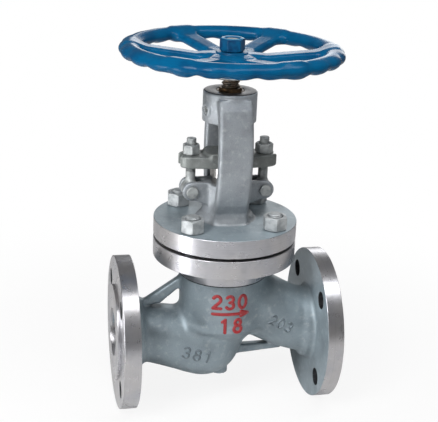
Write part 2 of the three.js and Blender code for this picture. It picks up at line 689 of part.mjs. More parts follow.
function stem() {
  const head = STEM_RADIUS + 3;
  const coneTop = BUSH_BOTTOM + BUSH_MOUTH - LIFT - FIT;
  const coneBottom = coneTop - BUSH_MOUTH;
  const turnedPart = turned([
    [0, STEM_BOTTOM],
    [head - 2, STEM_BOTTOM],
    [head, STEM_BOTTOM + 2],
    [head, STEM_BOTTOM + STEM_HEAD_HEIGHT],
    [STEM_RADIUS, STEM_BOTTOM + STEM_HEAD_HEIGHT],
    [STEM_RADIUS, coneBottom - 5],
    [STEM_RADIUS + BUSH_MOUTH, coneBottom - 5],
    [STEM_RADIUS + BUSH_MOUTH, coneBottom],
    [STEM_RADIUS, coneTop],
    [STEM_RADIUS, WHEEL_HUB_BOTTOM - 1],
    [WHEEL_THREAD / 2, WHEEL_HUB_BOTTOM - 1],
    [WHEEL_THREAD / 2, WHEEL_NUT_TOP - 2],
    [WHEEL_THREAD / 2 - 1, WHEEL_NUT_TOP - 1],
    [0, WHEEL_NUT_TOP - 1],
  ], 28);
  return turnedPart.add(wheelSquare(0, WHEEL_HUB_BOTTOM - 2, WHEEL_HUB_TOP - 2));
}

// The stem's square for the handwheel: its corners are turned down to the stem.
function wheelSquare(gap, bottom, top) {
  const half = WHEEL_THREAD / 2 + gap;
  const square = block(-half, half, -half, half, bottom, top);
  return square.intersect(rod(STEM_RADIUS + gap, bottom - CUT, top + CUT));
}

// ---- Handwheel --------------------------------------------------------------
function rim() {
  const centre = (WHEEL_OD - RIM_WIDTH) / 2;
  const profile = Array.from({ length: RIM_SIDES + 1 }, (_, i) => {
    const angle = (2 * Math.PI * (i % RIM_SIDES)) / RIM_SIDES;
    return [centre + (RIM_WIDTH / 2) * Math.cos(angle), RIM_Z + (RIM_HEIGHT / 2) * Math.sin(angle)];
  });
  return turned(profile, 48);
}

function spoke(index) {
  const angle = THREE.MathUtils.degToRad(FIRST_SPOKE) + (2 * Math.PI * index) / SPOKES;
  const end = WHEEL_OD / 2 - RIM_WIDTH + 3;
  const low = WHEEL_HUB_TOP - 1;
  const side = outline([
    [STEM, low - SPOKE_THICK],
    [end, RIM_Z - SPOKE_THICK / 2],
    [end, RIM_Z + SPOKE_THICK / 2],
    [STEM, low],
  ]);
  return plate(side, SPOKE_WIDTH, angle);
}

function handwheel() {
  const hub = turned([
    [0, WHEEL_HUB_BOTTOM],
    [WHEEL_HUB_RADIUS - 7, WHEEL_HUB_BOTTOM],
    [WHEEL_HUB_RADIUS - 4, WHEEL_HUB_BOTTOM + 8],
    [WHEEL_HUB_RADIUS, WHEEL_HUB_TOP - 10],
    [WHEEL_HUB_RADIUS, WHEEL_HUB_TOP - 2],
    [WHEEL_THREAD + 4, WHEEL_HUB_TOP],
    [0, WHEEL_HUB_TOP],
  ]);
  const spokes = Array.from({ length: SPOKES }, (_, index) => spoke(index));
  const bore = wheelSquare(FIT, WHEEL_HUB_BOTTOM - CUT, WHEEL_HUB_TOP + CUT);
  return joined(rim(), hub, ...spokes).subtract(bore);
}

function wheelWasher() {
  const bottom = WHEEL_HUB_TOP + FIT;
  return ring(WHEEL_THREAD / 2 + FIT, WHEEL_THREAD, bottom, bottom + WASHER_THICK);
}

function wheelNut() {
  const blank = hexagon(nutFlats(WHEEL_THREAD), WHEEL_NUT_BOTTOM, WHEEL_NUT_TOP);
  const bore = rod(WHEEL_THREAD / 2 + FIT, WHEEL_NUT_BOTTOM - CUT, WHEEL_NUT_TOP + CUT);
  return blank.subtract(bore);
}

// ---- Assembly ---------------------------------------------------------------
const valve = new THREE.Group();

function place(name, body, material) {
  const mesh = new THREE.Mesh(geometryOf(body), material.clone());
  mesh.name = name;
  valve.add(mesh);
}

place('valve_body', valveBody(), castPaint);
place('body_flange', bodyFlange(), castPaint);
place('inlet_flange', pipeFlange(-1), castPaint);
place('outlet_flange', pipeFlange(1), castPaint);
place('seat_ring', seatRing(), stainless);
place('bonnet_gasket', gasket(), graphite);
place('bonnet', bonnet(), castPaint);
place('backseat_bush', backseatBush(), stainless);
place('packing_washer', packingWasher(), stainless);
for (let i = 0; i < PACKING_RINGS; i += 1) {
  place(`packing_ring_${i + 1}`, packingRing(i), graphite);
}
studPlaces.forEach((spot, i) => {
  place(`bonnet_stud_${i + 1}`, stud(spot), zincSteel);
  place(`bonnet_nut_${i + 1}`, studNut(spot), zincSteel);
});
place('gland_follower', glandFollower(), stainless);
place('gland_flange', glandFlange(), darkCasting);
for (const [hand, side] of [['left', -1], ['right', 1]]) {
  place(`eye_bolt_${hand}`, eyeBolt(side), zincSteel);
  place(`gland_nut_${hand}`, glandNut(side), zincSteel);
  place(`hinge_pin_${hand}`, hingePin(side), zincSteel);
  place(`split_pin_${hand}`, splitPin(side), zincSteel);
}
place('stem_nut', stemNut(), brass);
place('stem_nut_screw', setScrew(), zincSteel);
place('disc', disc(), stainless);
place('disc_nut', discNut(), stainless);
place('stem', stem(), stainless);
place('handwheel', handwheel(), wheelEnamel);
place('handwheel_washer', wheelWasher(), zincSteel);
place('handwheel_nut', wheelNut(), wheelEnamel);

export default valve;
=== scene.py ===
import math
from functools import reduce

import bmesh
import bpy
import numpy as np
from mathutils import Matrix, Vector


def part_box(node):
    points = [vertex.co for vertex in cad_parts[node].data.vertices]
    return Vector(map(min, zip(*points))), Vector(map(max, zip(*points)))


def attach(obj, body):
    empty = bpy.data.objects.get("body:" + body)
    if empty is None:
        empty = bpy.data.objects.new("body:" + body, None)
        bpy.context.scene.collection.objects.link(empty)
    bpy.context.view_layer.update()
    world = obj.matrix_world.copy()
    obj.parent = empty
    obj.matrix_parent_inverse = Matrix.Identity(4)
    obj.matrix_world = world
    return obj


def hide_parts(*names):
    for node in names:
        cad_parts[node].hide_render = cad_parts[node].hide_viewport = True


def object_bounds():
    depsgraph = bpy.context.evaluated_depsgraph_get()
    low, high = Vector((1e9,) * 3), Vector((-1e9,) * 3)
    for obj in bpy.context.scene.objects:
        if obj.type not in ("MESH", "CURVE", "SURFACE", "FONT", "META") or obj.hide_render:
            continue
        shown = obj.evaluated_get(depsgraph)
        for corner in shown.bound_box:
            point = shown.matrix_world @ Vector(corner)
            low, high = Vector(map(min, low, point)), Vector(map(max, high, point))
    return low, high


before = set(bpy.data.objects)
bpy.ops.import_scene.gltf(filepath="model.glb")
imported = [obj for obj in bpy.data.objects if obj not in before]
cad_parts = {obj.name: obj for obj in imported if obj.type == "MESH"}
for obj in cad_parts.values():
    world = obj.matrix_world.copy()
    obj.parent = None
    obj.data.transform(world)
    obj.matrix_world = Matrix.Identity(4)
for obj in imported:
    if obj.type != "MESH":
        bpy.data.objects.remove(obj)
cad_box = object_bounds()

# --- The set -----------------------------------------------------------------
# A plain white sweep that the valve stands on, soft lamps round it, and a camera above
# the marked side. Only the camera sees the sweep at full white.
MM = 0.001
CAMERA_LENS = 86.019
CAMERA_PLACE = (-226.662, -987.411, 487.714)
CAMERA_RIGHT = (0.978193, -0.204129, 0.038345)
CAMERA_UP = (0.032736, 0.333836, 0.942063)
CAMERA_FORWARD = (0.205103, 0.920264, -0.333238)
FLOOR_Z = cad_box[0].z - 0.2 * MM
FLOOR_REACH = 4.0
FLOOR_WHITE = 0.72

scene = bpy.context.scene
scene.view_settings.view_transform = "Standard"

camera = bpy.data.objects.new("camera", bpy.data.cameras.new("camera"))
camera.data.lens = CAMERA_LENS
axes = (CAMERA_RIGHT, CAMERA_UP, [-value for value in CAMERA_FORWARD], [v * MM for v in CAMERA_PLACE])
camera.matrix_world = Matrix([*zip(*axes), (0, 0, 0, 1)])
scene.collection.objects.link(camera)
scene.camera = camera


class Shade:
    """One output socket of a node tree. Arithmetic on it adds Math nodes."""

    def __init__(self, tree, socket=None):
        self.tree, self.socket = tree, socket

    def node(self, kind, settings, values, out=0):
        """A node of this kind: its settings first, then its sockets' values or links."""
        made = self.tree.nodes.new(kind)
        for name, value in settings.items():
            setattr(made, name, value)
        for key, value in values.items():
            if isinstance(value, Shade):
                self.tree.links.new(value.socket, made.inputs[key])
            else:
                made.inputs[key].default_value = value
        return Shade(self.tree, made.outputs[out])

    def maths(self, operation, *terms):
        return self.node("ShaderNodeMath", {"operation": operation}, dict(enumerate(terms)))

    def __add__(self, other):
        return self.maths("ADD", self, other)

    def __sub__(self, other):
        return self.maths("SUBTRACT", self, other)

    def __rsub__(self, other):
        return self.maths("SUBTRACT", other, self)

    def __mul__(self, other):
        return self.maths("MULTIPLY", self, other)

    __radd__, __rmul__ = __add__, __mul__

    def rise(self, low, high):
        """0 up to low, 1 from high, and a smooth step between them."""
        values = {0: self, 1: low, 2: high}
        return self.node("ShaderNodeMapRange", {"interpolation_type": "SMOOTHSTEP"}, values)


def seen_directly(tree):
    """1 for rays straight from the camera, 0 for the rest."""
    return Shade(tree).node("ShaderNodeLightPath", {}, {}, 0)


WORLD_LEVEL = 0.15
world = bpy.data.worlds.new("sweep")
world.use_nodes = True
scene.world = world
backdrop = world.node_tree.nodes["Background"]
backdrop.inputs["Color"].default_value = (1.0, 1.0, 1.0, 1.0)
level = WORLD_LEVEL + (1 - WORLD_LEVEL) * seen_directly(world.node_tree)
world.node_tree.links.new(level.socket, backdrop.inputs["Strength"])

floor_paint = bpy.data.materials.new("floor_paint")
floor_paint.use_nodes = True
floor_tree = floor_paint.node_tree
shadowed = floor_tree.nodes["Principled BSDF"]
shadowed.inputs["Base Color"].default_value = (FLOOR_WHITE, FLOOR_WHITE, FLOOR_WHITE, 1.0)
shadowed.inputs["Roughness"].default_value = 0.9
shadowed.inputs["Specular IOR Level"].default_value = 0.0
place = Shade(floor_tree).node("ShaderNodeTexCoord", {}, {}, 3)
away = place.node("ShaderNodeVectorMath", {"operation": "LENGTH"}, {0: place}, 1)
white = (0.88 + 0.12 * away.rise(0.18, 0.6)) * seen_directly(floor_tree)
glow = white.node("ShaderNodeEmission", {}, {"Color": (1.0, 1.0, 1.0, 1.0), "Strength": 1.0})
surface = white.node(
    "ShaderNodeMixShader", {}, {0: white, 1: Shade(floor_tree, shadowed.outputs[0]), 2: glow}
)
floor_tree.links.new(surface.socket, floor_tree.nodes["Material Output"].inputs["Surface"])

floor = bpy.data.objects.new("floor", bpy.data.meshes.new("floor"))
floor_corners = [(x * FLOOR_REACH, y * FLOOR_REACH, FLOOR_Z) for x, y in ((-1, -1), (1, -1), (1, 1), (-1, 1))]
floor.data.from_pydata(floor_corners, [], [(0, 1, 2, 3)])
floor.data.materials.append(floor_paint)
scene.collection.objects.link(floor)

# Each lamp: where it stands and its two sides, in metres, and its power.
LAMP_AIM = Vector((0, 0, 0.1))
for name, spot, sides, power in (
    ("key", (-0.95, -1.05, 1.15), (0.6, 0.6), 23.0),
    ("side", (-0.60, -0.20, 0.05), (0.16, 0.34), 2.2),
    ("fill", (1.2, -1.1, 0.5), (0.7, 0.9), 0.5),
    ("top", (0.15, -0.42, 1.05), (1.2, 0.28), 7.5),
    ("back", (0.5, 1.2, 0.45), (0.8, 0.5), 3.0),
):
    lamp = bpy.data.objects.new(name, bpy.data.lights.new(name, "AREA"))
    lamp.data.shape = "RECTANGLE"
    lamp.data.size, lamp.data.size_y = sides
    lamp.data.energy = power
    lamp.rotation_euler = (Vector(spot) - LAMP_AIM).to_track_quat("Z", "Y").to_euler()
    lamp.location = spot
    scene.collection.objects.link(lamp)

# --- Body casting ------------------------------------------------------------
# One sand casting in carbon steel: two passages, the neck over the seat, two web
# bars, and a foot. It is shot blasted and sprayed with a silver-grey satin paint.


def corners_of(node):
    """A node's lowest and highest corners at rest, in millimetres."""
    return [np.array(corner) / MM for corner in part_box(node)]


inlet_low, inlet_high = corners_of("inlet_flange")
flange_low, flange_high = corners_of("body_flange")
HALF_LENGTH = -inlet_low[0]
PIPE_FLANGE_RADIUS = inlet_high[2]
RAISED_FACE, RAISED_FACE_RADIUS = 3.0, 50.0
PIPE_FLANGE_THICK = 20.0
FLANGE_BACK = HALF_LENGTH - PIPE_FLANGE_THICK
BORE_RADIUS, TUBE_RADIUS, HUB_RADIUS = 25.0, 34.0, 36.6
NECK_RADIUS, NECK_FOOT = 45.0, 11.0
CHAMBER_RADIUS, CHAMBER_FLOOR = 36.0, 16.0
PORT_RADIUS, PORT_LOW = 30.3, 8.0
BOLTS = 4
PIPE_BOLT_CIRCLE, PIPE_BOLT_HOLE = 62.5, 9.0
STUD_CIRCLE, STUD_HOLE = 59.0, 8.3
SLAB_INSET = 0.35
INLET_LINE = ((-HALF_LENGTH, 0), (-60, 0), (-45, -16), (-8, -16))
OUTLET_LINE = ((10, 40), (45, 26), (70, 0), (HALF_LENGTH, 0))
INLET_TAPER = 3.2
BULB_PLACE, BULB_RADIUS = (-13.5, -14.7), 34.0
POCKET_PLACE, POCKET_RADIUS = (-10, -15), 26.0
BOWL = [(0, -30), (11, -30), (18, -21), (26, -10.5), (35.6, 1), (42.6, 8.5), (44.6, 13), (0, 13)]
FOOT_X, FOOT_TILT, FOOT_RADIUS, FOOT_LOW = -1.4, 0.1, 10.4, -52.4
UPPER_WEB = [(-92, 28), (-66, 32), (-48.6, 47), (-38, 49), (-38, 66), (-46, 60.2), (-84, 34.5), (-92, 34)]
LOWER_WEB = [(2, -33.4), (66, -28), (66, -21.4), (24, -21.8), (2, -26)]
WEB_HALF = 4.5
CAST_GREY = (0.270, 0.326, 0.360, 1.0)
CAST_DARK = (0.055, 0.070, 0.080, 1.0)
CAST_LIGHT = (0.500, 0.540, 0.570, 1.0)


def bezier(points, count=13):
    """Points along the cubic curve that four points control."""
    t = np.linspace(0, 1, count)[:, None]
    a, b, c, d = (np.array(point, float) for point in points)
    return (1 - t) ** 3 * a + 3 * t * (1 - t) ** 2 * b + 3 * t * t * (1 - t) * c + t**3 * d


def bolt_places(circle):
    """The places of the bolts on a bolt circle, none of them on a centre line."""
    turn = (0.5 + np.arange(BOLTS)) * 2 * np.pi / BOLTS
    return np.stack([circle * np.cos(turn), circle * np.sin(turn)], 1)


def least(*distances):
    """The least of several distances."""
    return reduce(np.minimum, distances)


def blended(first, second, width):
    """The lesser of two distances, with a fillet this wide where they are nearly equal."""
    near = np.maximum(width - np.abs(first - second), 0) / width
    return np.minimum(first, second) - near * near * width / 4


def cut_from(solid, tool, width):
    """What is left of the first solid outside the second, with an edge this wide."""
    return -blended(-solid, tool, width)


def from_segment(u, v, start, end):
    """Squared distance, in a plane, from a straight segment."""
    (ax, ay), (bx, by) = start, end
    dx, dy = bx - ax, by - ay
    share = np.clip(((u - ax) * dx + (v - ay) * dy) / (dx * dx + dy * dy), 0, 1)
    return (u - ax - share * dx) ** 2 + (v - ay - share * dy) ** 2


def from_line(u, v, line):
    """Squared distance, in a plane, from a line of straight segments."""
    return least(*(from_segment(u, v, start, end) for start, end in zip(line[:-1], line[1:])))


def along_line(x, y, z, line, radius):
    """Distance from a round bar whose centre line lies in the XZ plane."""
    return np.sqrt(from_line(x, z, line) + y * y) - radius


def ball(x, y, z, place, radius):
    """Distance from a ball whose centre lies in the XZ plane."""
    return np.sqrt((x - place[0]) ** 2 + y**2 + (z - place[1]) ** 2) - radius


def within(side, end, edge):
    """Distance from where two slabs overlap, with the corner between them eased."""
    side, end = side + edge, end + edge
    return np.minimum(np.maximum(side, end), 0) + np.hypot(np.maximum(side, 0), np.maximum(end, 0)) - edge


def disc_between(across, along, radius, low, high, edge=0.6):
    """Distance from a round disc between two levels of its axis, with eased edges."""
    return within(across - radius, np.abs(along - (low + high) / 2) - (high - low) / 2, edge)


def flat_shape(u, v, corners):
    """Distance from a filled outline: the nearest edge, negative inside."""
    outline = corners + corners[:1]
    away = np.sqrt(from_line(u, v, outline))
    inside = np.zeros(away.shape, bool)
    for (ax, ay), (bx, by) in zip(outline[:-1], outline[1:]):
        if by != ay:
            inside ^= ((v >= ay) != (v >= by)) & (u < ax + (v - ay) * (bx - ax) / (by - ay))
    return np.where(inside, -away, away)


def thick(flat, across, half, edge):
    """An outline given thickness on both sides of its plane, with eased edges."""
    return within(flat, np.abs(across) - half, edge)


inlet_run, outlet_run = bezier(INLET_LINE), bezier(OUTLET_LINE)
stud_places, pipe_bolt_places = bolt_places(STUD_CIRCLE), bolt_places(PIPE_BOLT_CIRCLE)


def body_outside(x, y, z):
    """Distance from the body casting's outer skin."""
    upright, lying, beside = np.hypot(x, y), np.hypot(y, z), np.abs(x)
    narrowing = INLET_TAPER * np.clip((-x - 42) / 38, 0, 1)
    inlet = along_line(x, y, z, inlet_run[:-2], TUBE_RADIUS - narrowing)
    lower = blended(inlet, ball(x, y, z, BULB_PLACE, BULB_RADIUS), 14)
    lower = blended(lower, flat_shape(upright, z, BOWL), 7)
    foot = disc_between(np.hypot(x - FOOT_X, y), z + FOOT_TILT * x, FOOT_RADIUS, FOOT_LOW, -28, 1.2)
    lower = blended(lower, foot, 2.5)
    neck = disc_between(upright, z, NECK_RADIUS, NECK_FOOT, flange_low[2] + 1, 1.0)
    upper = blended(neck, along_line(x, y, z, outlet_run, TUBE_RADIUS), 10)
    joint_slab = disc_between(upright, z, flange_high[0] - 4, flange_low[2] + SLAB_INSET, 97.5)
    upper = blended(upper, joint_slab, 6)
    fillet = 2.0 + 7 * np.clip((-x - 16) / 18, 0, 1) + 4 * np.clip((x - 20) / 14, 0, 1)
    skin = blended(upper, lower, fillet)
    webs = np.minimum(flat_shape(x, z, UPPER_WEB), flat_shape(x, z, LOWER_WEB))
    skin = blended(skin, thick(webs, y, WEB_HALF, 1.5), 4)
    hubs = disc_between(lying, beside, HUB_RADIUS, FLANGE_BACK - 9, FLANGE_BACK + 4, 3)
    slab_low, slab_high = FLANGE_BACK + SLAB_INSET, HALF_LENGTH - RAISED_FACE - 2
    slabs = disc_between(lying, beside, PIPE_FLANGE_RADIUS - 4, slab_low, slab_high)
    return blended(blended(skin, hubs, 7), slabs, 7)


def body_field(x, y, z):
    """Distance from the whole body casting, with its passages and bolt holes."""
    upright, past_neck = np.hypot(x, y), 90 - np.abs(x)
    under_seat = (z < CHAMBER_FLOOR) & (upright < PORT_RADIUS + 4) & (x > -10)
    hollows = [
        along_line(x, y, z, inlet_run, BORE_RADIUS),
        np.where(under_seat, 9.0, along_line(x, y, z, outlet_run, BORE_RADIUS)),
        ball(x, y, z, POCKET_PLACE, POCKET_RADIUS),
        disc_between(upright, z, CHAMBER_RADIUS, CHAMBER_FLOOR, 120),
        disc_between(upright, z, PORT_RADIUS, PORT_LOW, CHAMBER_FLOOR + 2),
        disc_between(upright, z, BORE_RADIUS, -6, CHAMBER_FLOOR),
        np.maximum(np.hypot(y, z) - BORE_RADIUS, past_neck),
    ]
    for a, b in pipe_bolt_places:
        hollows.append(np.maximum(np.hypot(y - a, z - b) - PIPE_BOLT_HOLE - 0.5, past_neck))
    for a, b in stud_places:
        hollows.append(np.maximum(np.hypot(x - a, y - b) - STUD_HOLE - 0.5, 80 - z))
    return cut_from(body_outside(x, y, z), least(*hollows), 0.8)


def slope(field, points, reach=0.2):
    """The field's unit slope at these points, from differences to both sides."""
    steps = np.eye(3, dtype=np.float32) * reach
    rise = [field(*(points + step).T) - field(*(points - step).T) for step in steps]
    rise = np.stack(rise, 1)
    return rise / np.maximum(np.linalg.norm(rise, axis=1, keepdims=True), 1e-9)


def cast_skin(field, low, high, step):
    """The field's zero level as quads, by surface nets.

    Each grid cell that the level passes through gets one vertex, at the mean of the
    crossings on the cell's edges. Each crossed edge gets a quad of its four cells.
    The vertices then slide along the field's slope onto the level.
    """
    counts = np.ceil((np.array(high) - low) / step).astype(int) + 1
    axes = [np.float32(low[i]) + np.float32(step) * np.arange(counts[i], dtype=np.float32) for i in range(3)]
    values = field(axes[0][:, None, None], axes[1][None, :, None], axes[2][None, None, :]).astype(np.float32)
    cells = tuple(counts - 1)
    total, hits = np.zeros((*cells, 3), np.float32), np.zeros(cells, np.float32)
    crossings = []
    for axis in range(3):
        near = values.take(range(counts[axis] - 1), axis)
        far = values.take(range(1, counts[axis]), axis)
        spots = np.argwhere((near < 0) != (far < 0))
        a, b = near[tuple(spots.T)], far[tuple(spots.T)]
        point = spots.astype(np.float32)
        point[:, axis] += a / (a - b)
        crossings.append((spots, a < 0))
        others = [i for i in range(3) if i != axis]
        for back in ((0, 0), (0, 1), (1, 0), (1, 1)):
            cell = spots.copy()
            cell[:, others] -= back
            fits = ((cell >= 0) & (cell < cells)).all(1)
            where = tuple(cell[fits].T)
            np.add.at(total, where, point[fits])
            np.add.at(hits, where, 1)
    used = hits > 0
    number = np.full(cells, -1, np.int64)
    number[used] = np.arange(used.sum())
    points = (total[used] / hits[used][:, None] * step + low).astype(np.float32)
    quads = []
    for axis, (spots, rising) in enumerate(crossings):
        u, v = [(1, 2), (2, 0), (0, 1)][axis]
        around = []
        for du, dv in ((1, 1), (0, 1), (0, 0), (1, 0)):
            cell = spots.copy()
            cell[:, u] -= du
            cell[:, v] -= dv
            around.append(cell)
        around = np.stack(around, 1)
        fits = ((around >= 0) & (around < cells)).all((1, 2))
        corners = number[tuple(around[fits].transpose(2, 0, 1))]
        quads.append(np.where(rising[fits][:, None], corners, corners[:, ::-1]))
    for _ in range(3):
        away = field(*points.T)[:, None]
        points = points - np.clip(away, -step, step) * slope(field, points)
    return points, np.concatenate(quads)


def shade_and_edge_masks(field, points, reach):
    """How hollow and how edgy the surface is at each point, both 0 to 1.

    Over a hollow the distance a little way out is less than the way gone. Under an
    edge the distance a little way in is less than the way gone.
    """
    # The coats use the hollow mask for painted shade in creases and corners.
    out = slope(field, points)
    hollow = np.clip(1 - field(*(points + out * reach).T) / reach, 0, 1)
    edge = np.clip(1 + field(*(points - out * reach * 0.5).T) / (reach * 0.5), 0, 1)
    return {"hollow": hollow, "edge": edge}


def piece(name, shape, coats, nodes=(), body="housing", marks=None, fields=None, crease=0.6, weld=True):
    """A mesh piece of the valve from points in millimetres and faces of point numbers.

    Coats are its materials and marks give each face its coat. Fields are numbers per
    point. Edges sharper than the crease, in radians, stay sharp.
    """
    points, faces = shape
    mesh = bpy.data.meshes.new(name)
    mesh.from_pydata((np.asarray(points, float) * MM).tolist(), [], faces.tolist())
    for coat in coats:
        mesh.materials.append(coat)
    if marks is not None:
        mesh.polygons.foreach_set("material_index", np.asarray(marks, np.int32))
    if weld:
        shell = bmesh.new()
        shell.from_mesh(mesh)
        bmesh.ops.remove_doubles(shell, verts=shell.verts, dist=1e-6)
        bmesh.ops.recalc_face_normals(shell, faces=shell.faces)
        shell.to_mesh(mesh)
        shell.free()
    for field_name, values in (fields or {}).items():
        drawn = mesh.attributes.new(field_name, "FLOAT", "POINT").data
        drawn.foreach_set("value", np.asarray(values, np.float32))
    mesh.shade_smooth()
    mesh.set_sharp_from_angle(angle=crease)
    made = bpy.data.objects.new(name, mesh)
    scene.collection.objects.link(made)
    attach(made, body)
    if nodes:
        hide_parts(*nodes)
    return made


def casting(name, field, low, high, step, reach, coats, node, body="housing"):
    """A cast piece: the skin of its field, with its hollow and edge masks over this reach."""
    points, quads = cast_skin(field, low, high, step)
    worn = shade_and_edge_masks(field, points, reach)
    piece(name, (points, quads), coats, [node], body, fields=worn, weld=False, crease=1.2)


def coat(name, constants, paint):
    """A material: constants sit on the shader's sockets, and paint gives what varies.

    Paint is called with the Object coordinates and returns the colour, the roughness,
    the normal and, where it varies too, the metal's share.
    """
    made = bpy.data.materials.new(name)
    made.use_nodes = True
    tree = made.node_tree
    shader = tree.nodes["Principled BSDF"]
    for socket, value in constants.items():
        shader.inputs[socket].default_value = value
    shades = paint(Shade(tree).node("ShaderNodeTexCoord", {}, {}, 3))
    for socket, shade in zip(("Base Color", "Roughness", "Normal", "Metallic"), shades):
        tree.links.new(shade.socket, shader.inputs[socket])
    return made


def noise(place, size, detail=2.0, rough=0.5):
    """Noise from about 0 to 1 whose blotches are about this many millimetres across."""
    values = {"Vector": place, "Scale": 1 / (size * MM), "Detail": detail, "Roughness": rough}
    return place.node("ShaderNodeTexNoise", {}, values)


def tint(first, second, share):
    """A colour between two others."""
    return share.node("ShaderNodeMix", {"data_type": "RGBA"}, {0: share, 6: first, 7: second}, 2)


def grain(height, strength, depth):
    """A normal from a height, where depth is in millimetres."""
    values = {"Height": height, "Strength": strength, "Distance": depth * MM}
    return height.node("ShaderNodeBump", {}, values)


def drawn_field(place, name):
    """A number that the mesh carries at each point."""
    return place.node("ShaderNodeAttribute", {"attribute_name": name}, {}, 2)


def cast_coat(name, tones, sand, worn=True):
    """Sprayed paint on sand-cast steel.

    Tones are its grey, dark and light, and sand is how strong the casting's grain is.
    With worn set, the coat is darkened in hollows as painted shade, and pales on edges.
    """
    grey, dark, light = tones

    def paint(place):
        cloud = noise(place, 34.0, 3.0)
        mottle = noise(place, 6.0, 4.0, 0.6)
        sandy = noise(place, 1.1, 3.0, 0.65)
        colour = tint(grey, dark, 0.42 * cloud.rise(0.42, 0.75) + 0.30 * sandy.rise(0.5, 0.8))
        colour = tint(colour, light, 0.36 * mottle.rise(0.5, 0.75))
        rough = 0.38 + 0.12 * mottle
        if worn:
            hollow = drawn_field(place, "hollow").rise(0.12, 0.85)
            edge = drawn_field(place, "edge").rise(0.2, 0.75)
            # Painted shade: the colour goes towards the dark tone in hollows and creases.
            colour = tint(colour, dark, hollow * (0.45 + 0.45 * mottle))
            colour = tint(colour, light, edge * (0.35 + 0.4 * mottle))
            rough = 0.02 + rough + 0.10 * hollow
        return colour, rough, grain(sandy + 0.8 * mottle, sand, 0.35)

    return coat(name, {"Metallic": 0.45 if worn else 0.35}, paint)


body_paint = cast_coat("body_paint", (CAST_GREY, CAST_DARK, CAST_LIGHT), 0.6)
casting(
    "body_casting", body_field, (-113.4, -77.4, -77.4), (113.4, 77.4, 99.4), 1.9, 4.0,
    [body_paint], "valve_body",
)

# --- Bolting flanges ---------------------------------------------------------
# The three flanges of the body are cast with it, then faced, turned on the rim and
# drilled. Their backs keep the paint, and the turned faces are bright steel.
STEEL_GREY = (0.430, 0.430, 0.455, 1.0)
STEEL_WARM = (0.50, 0.485, 0.485, 1.0)
STEEL_DARK = (0.17, 0.175, 0.185, 1.0)
HOLE_DARK = (0.020, 0.020, 0.022, 1.0)
PLATE_INNER, BODY_PLATE_INNER = 30.0, 40.0
RING_SIDES = 128


def on_lathe(place, axis=2):
    """How far out from a lathe's axis a place is, and how far along it."""
    parts = [place.node("ShaderNodeSeparateXYZ", {}, {0: place}, i) for i in range(3)]
    along = parts.pop(axis)
    return along.maths("SQRT", parts[0] * parts[0] + parts[1] * parts[1]), along


def tool_lines(out, along, *kind):
    """Noise of this kind that runs round a lathe's axis unchanged."""
    return noise(out.node("ShaderNodeCombineXYZ", {}, {0: out, 1: along, 2: 0.0}), *kind)


def turned_coat(name, axis):
    """Bright steel turned on a lathe about one axis, with tool lines round it.

    The tone wanders slowly with the place, as handling and storage leave it.
    """

    def paint(place):
        out, along = on_lathe(place, axis)
        lines = tool_lines(out, along, 0.55, 2.0, 0.7)
        broad = tool_lines(out, along, 3.2, 1.0)
        smudge = noise(place, 9.0, 2.0)
        colour = tint(STEEL_GREY, STEEL_WARM, 0.8 * noise(place, 46.0, 2.0).rise(0.4, 0.62))
        colour = tint(colour, STEEL_DARK, 0.20 * smudge.rise(0.5, 0.9) + 0.22 * lines.rise(0.5, 0.8))
        return colour, 0.20 + 0.12 * smudge + 0.06 * lines, grain(lines + 0.4 * broad, 0.22, 0.06)

    return coat(name, {"Metallic": 0.92}, paint)


def holed_plate(inner, outer, circle, hole, low, high):
    """A flat ring with a circle of bolt holes, as a shape and its faces' marks.

    Every hole has its own sector. At each angle round the hole a ray runs from the
    hole's edge to the sector's boundary: the nearer of the two arcs and the two
    radial lines. Marks: 0 low face, 1 high face, 2 rim, 3 hole wall, 4 inner wall.
    """
    half = np.pi / BOLTS
    corners = [math.atan2(r * math.sin(half), r * math.cos(half) - circle) for r in (inner, outer)]
    turn = np.unique(np.concatenate([np.linspace(0, np.pi, 33), corners]))
    turn = np.concatenate([turn, -turn[-2:0:-1]])
    toward, aside = np.cos(turn), np.sin(turn)
    ahead = circle * toward
    to_rim = np.sqrt(ahead**2 - circle**2 + outer**2) - ahead
    square = ahead**2 - circle**2 + inner**2
    to_inner = np.where((square > 0) & (ahead < 0), -ahead - np.sqrt(np.maximum(square, 0)), np.inf)
    opening = np.abs(aside) - toward * math.tan(half)
    to_line = np.where(opening > 1e-9, circle * math.tan(half) / np.maximum(opening, 1e-9), np.inf)
    reach = np.minimum(np.minimum(to_rim, to_inner), to_line)
    on_rim, on_inner = to_rim < reach + 1e-6, to_inner < reach + 1e-6
    share = np.linspace(0, 1, 5)[:, None]
    span = hole + (reach - hole) * share
    flat = np.stack([circle + span * toward, span * aside], -1)
    rows, columns = span.shape
    sheet = grid_quads(rows, columns)
    size = rows * columns
    wall = np.arange(columns)
    after = (wall + 1) % columns
    rim_wall = np.stack([wall, after, after + size, wall + size], 1)
    edge_wall = rim_wall + size - columns
    quads = [sheet[:, ::-1], sheet + size, rim_wall[:, ::-1]]
    kinds = [np.zeros(len(sheet)), np.ones(len(sheet)), np.full(columns, 3)]
    for on, kind in ((on_rim, 2), (on_inner, 4)):
        chosen = on & on[after]
        quads.append(edge_wall[chosen])
        kinds.append(np.full(chosen.sum(), kind))
    quads, kinds = np.concatenate(quads), np.concatenate(kinds).astype(int)
    points = []
    for k in range(BOLTS):
        spin = half + 2 * half * k
        c, s = math.cos(spin), math.sin(spin)
        turned_flat = flat.reshape(-1, 2) @ np.array([[c, s], [-s, c]])
        for level in (low, high):
            points.append(np.column_stack([turned_flat, np.full(size, level)]))
    quads = np.concatenate([quads + 2 * size * k for k in range(BOLTS)])
    return (np.concatenate(points), quads), np.tile(kinds, BOLTS)


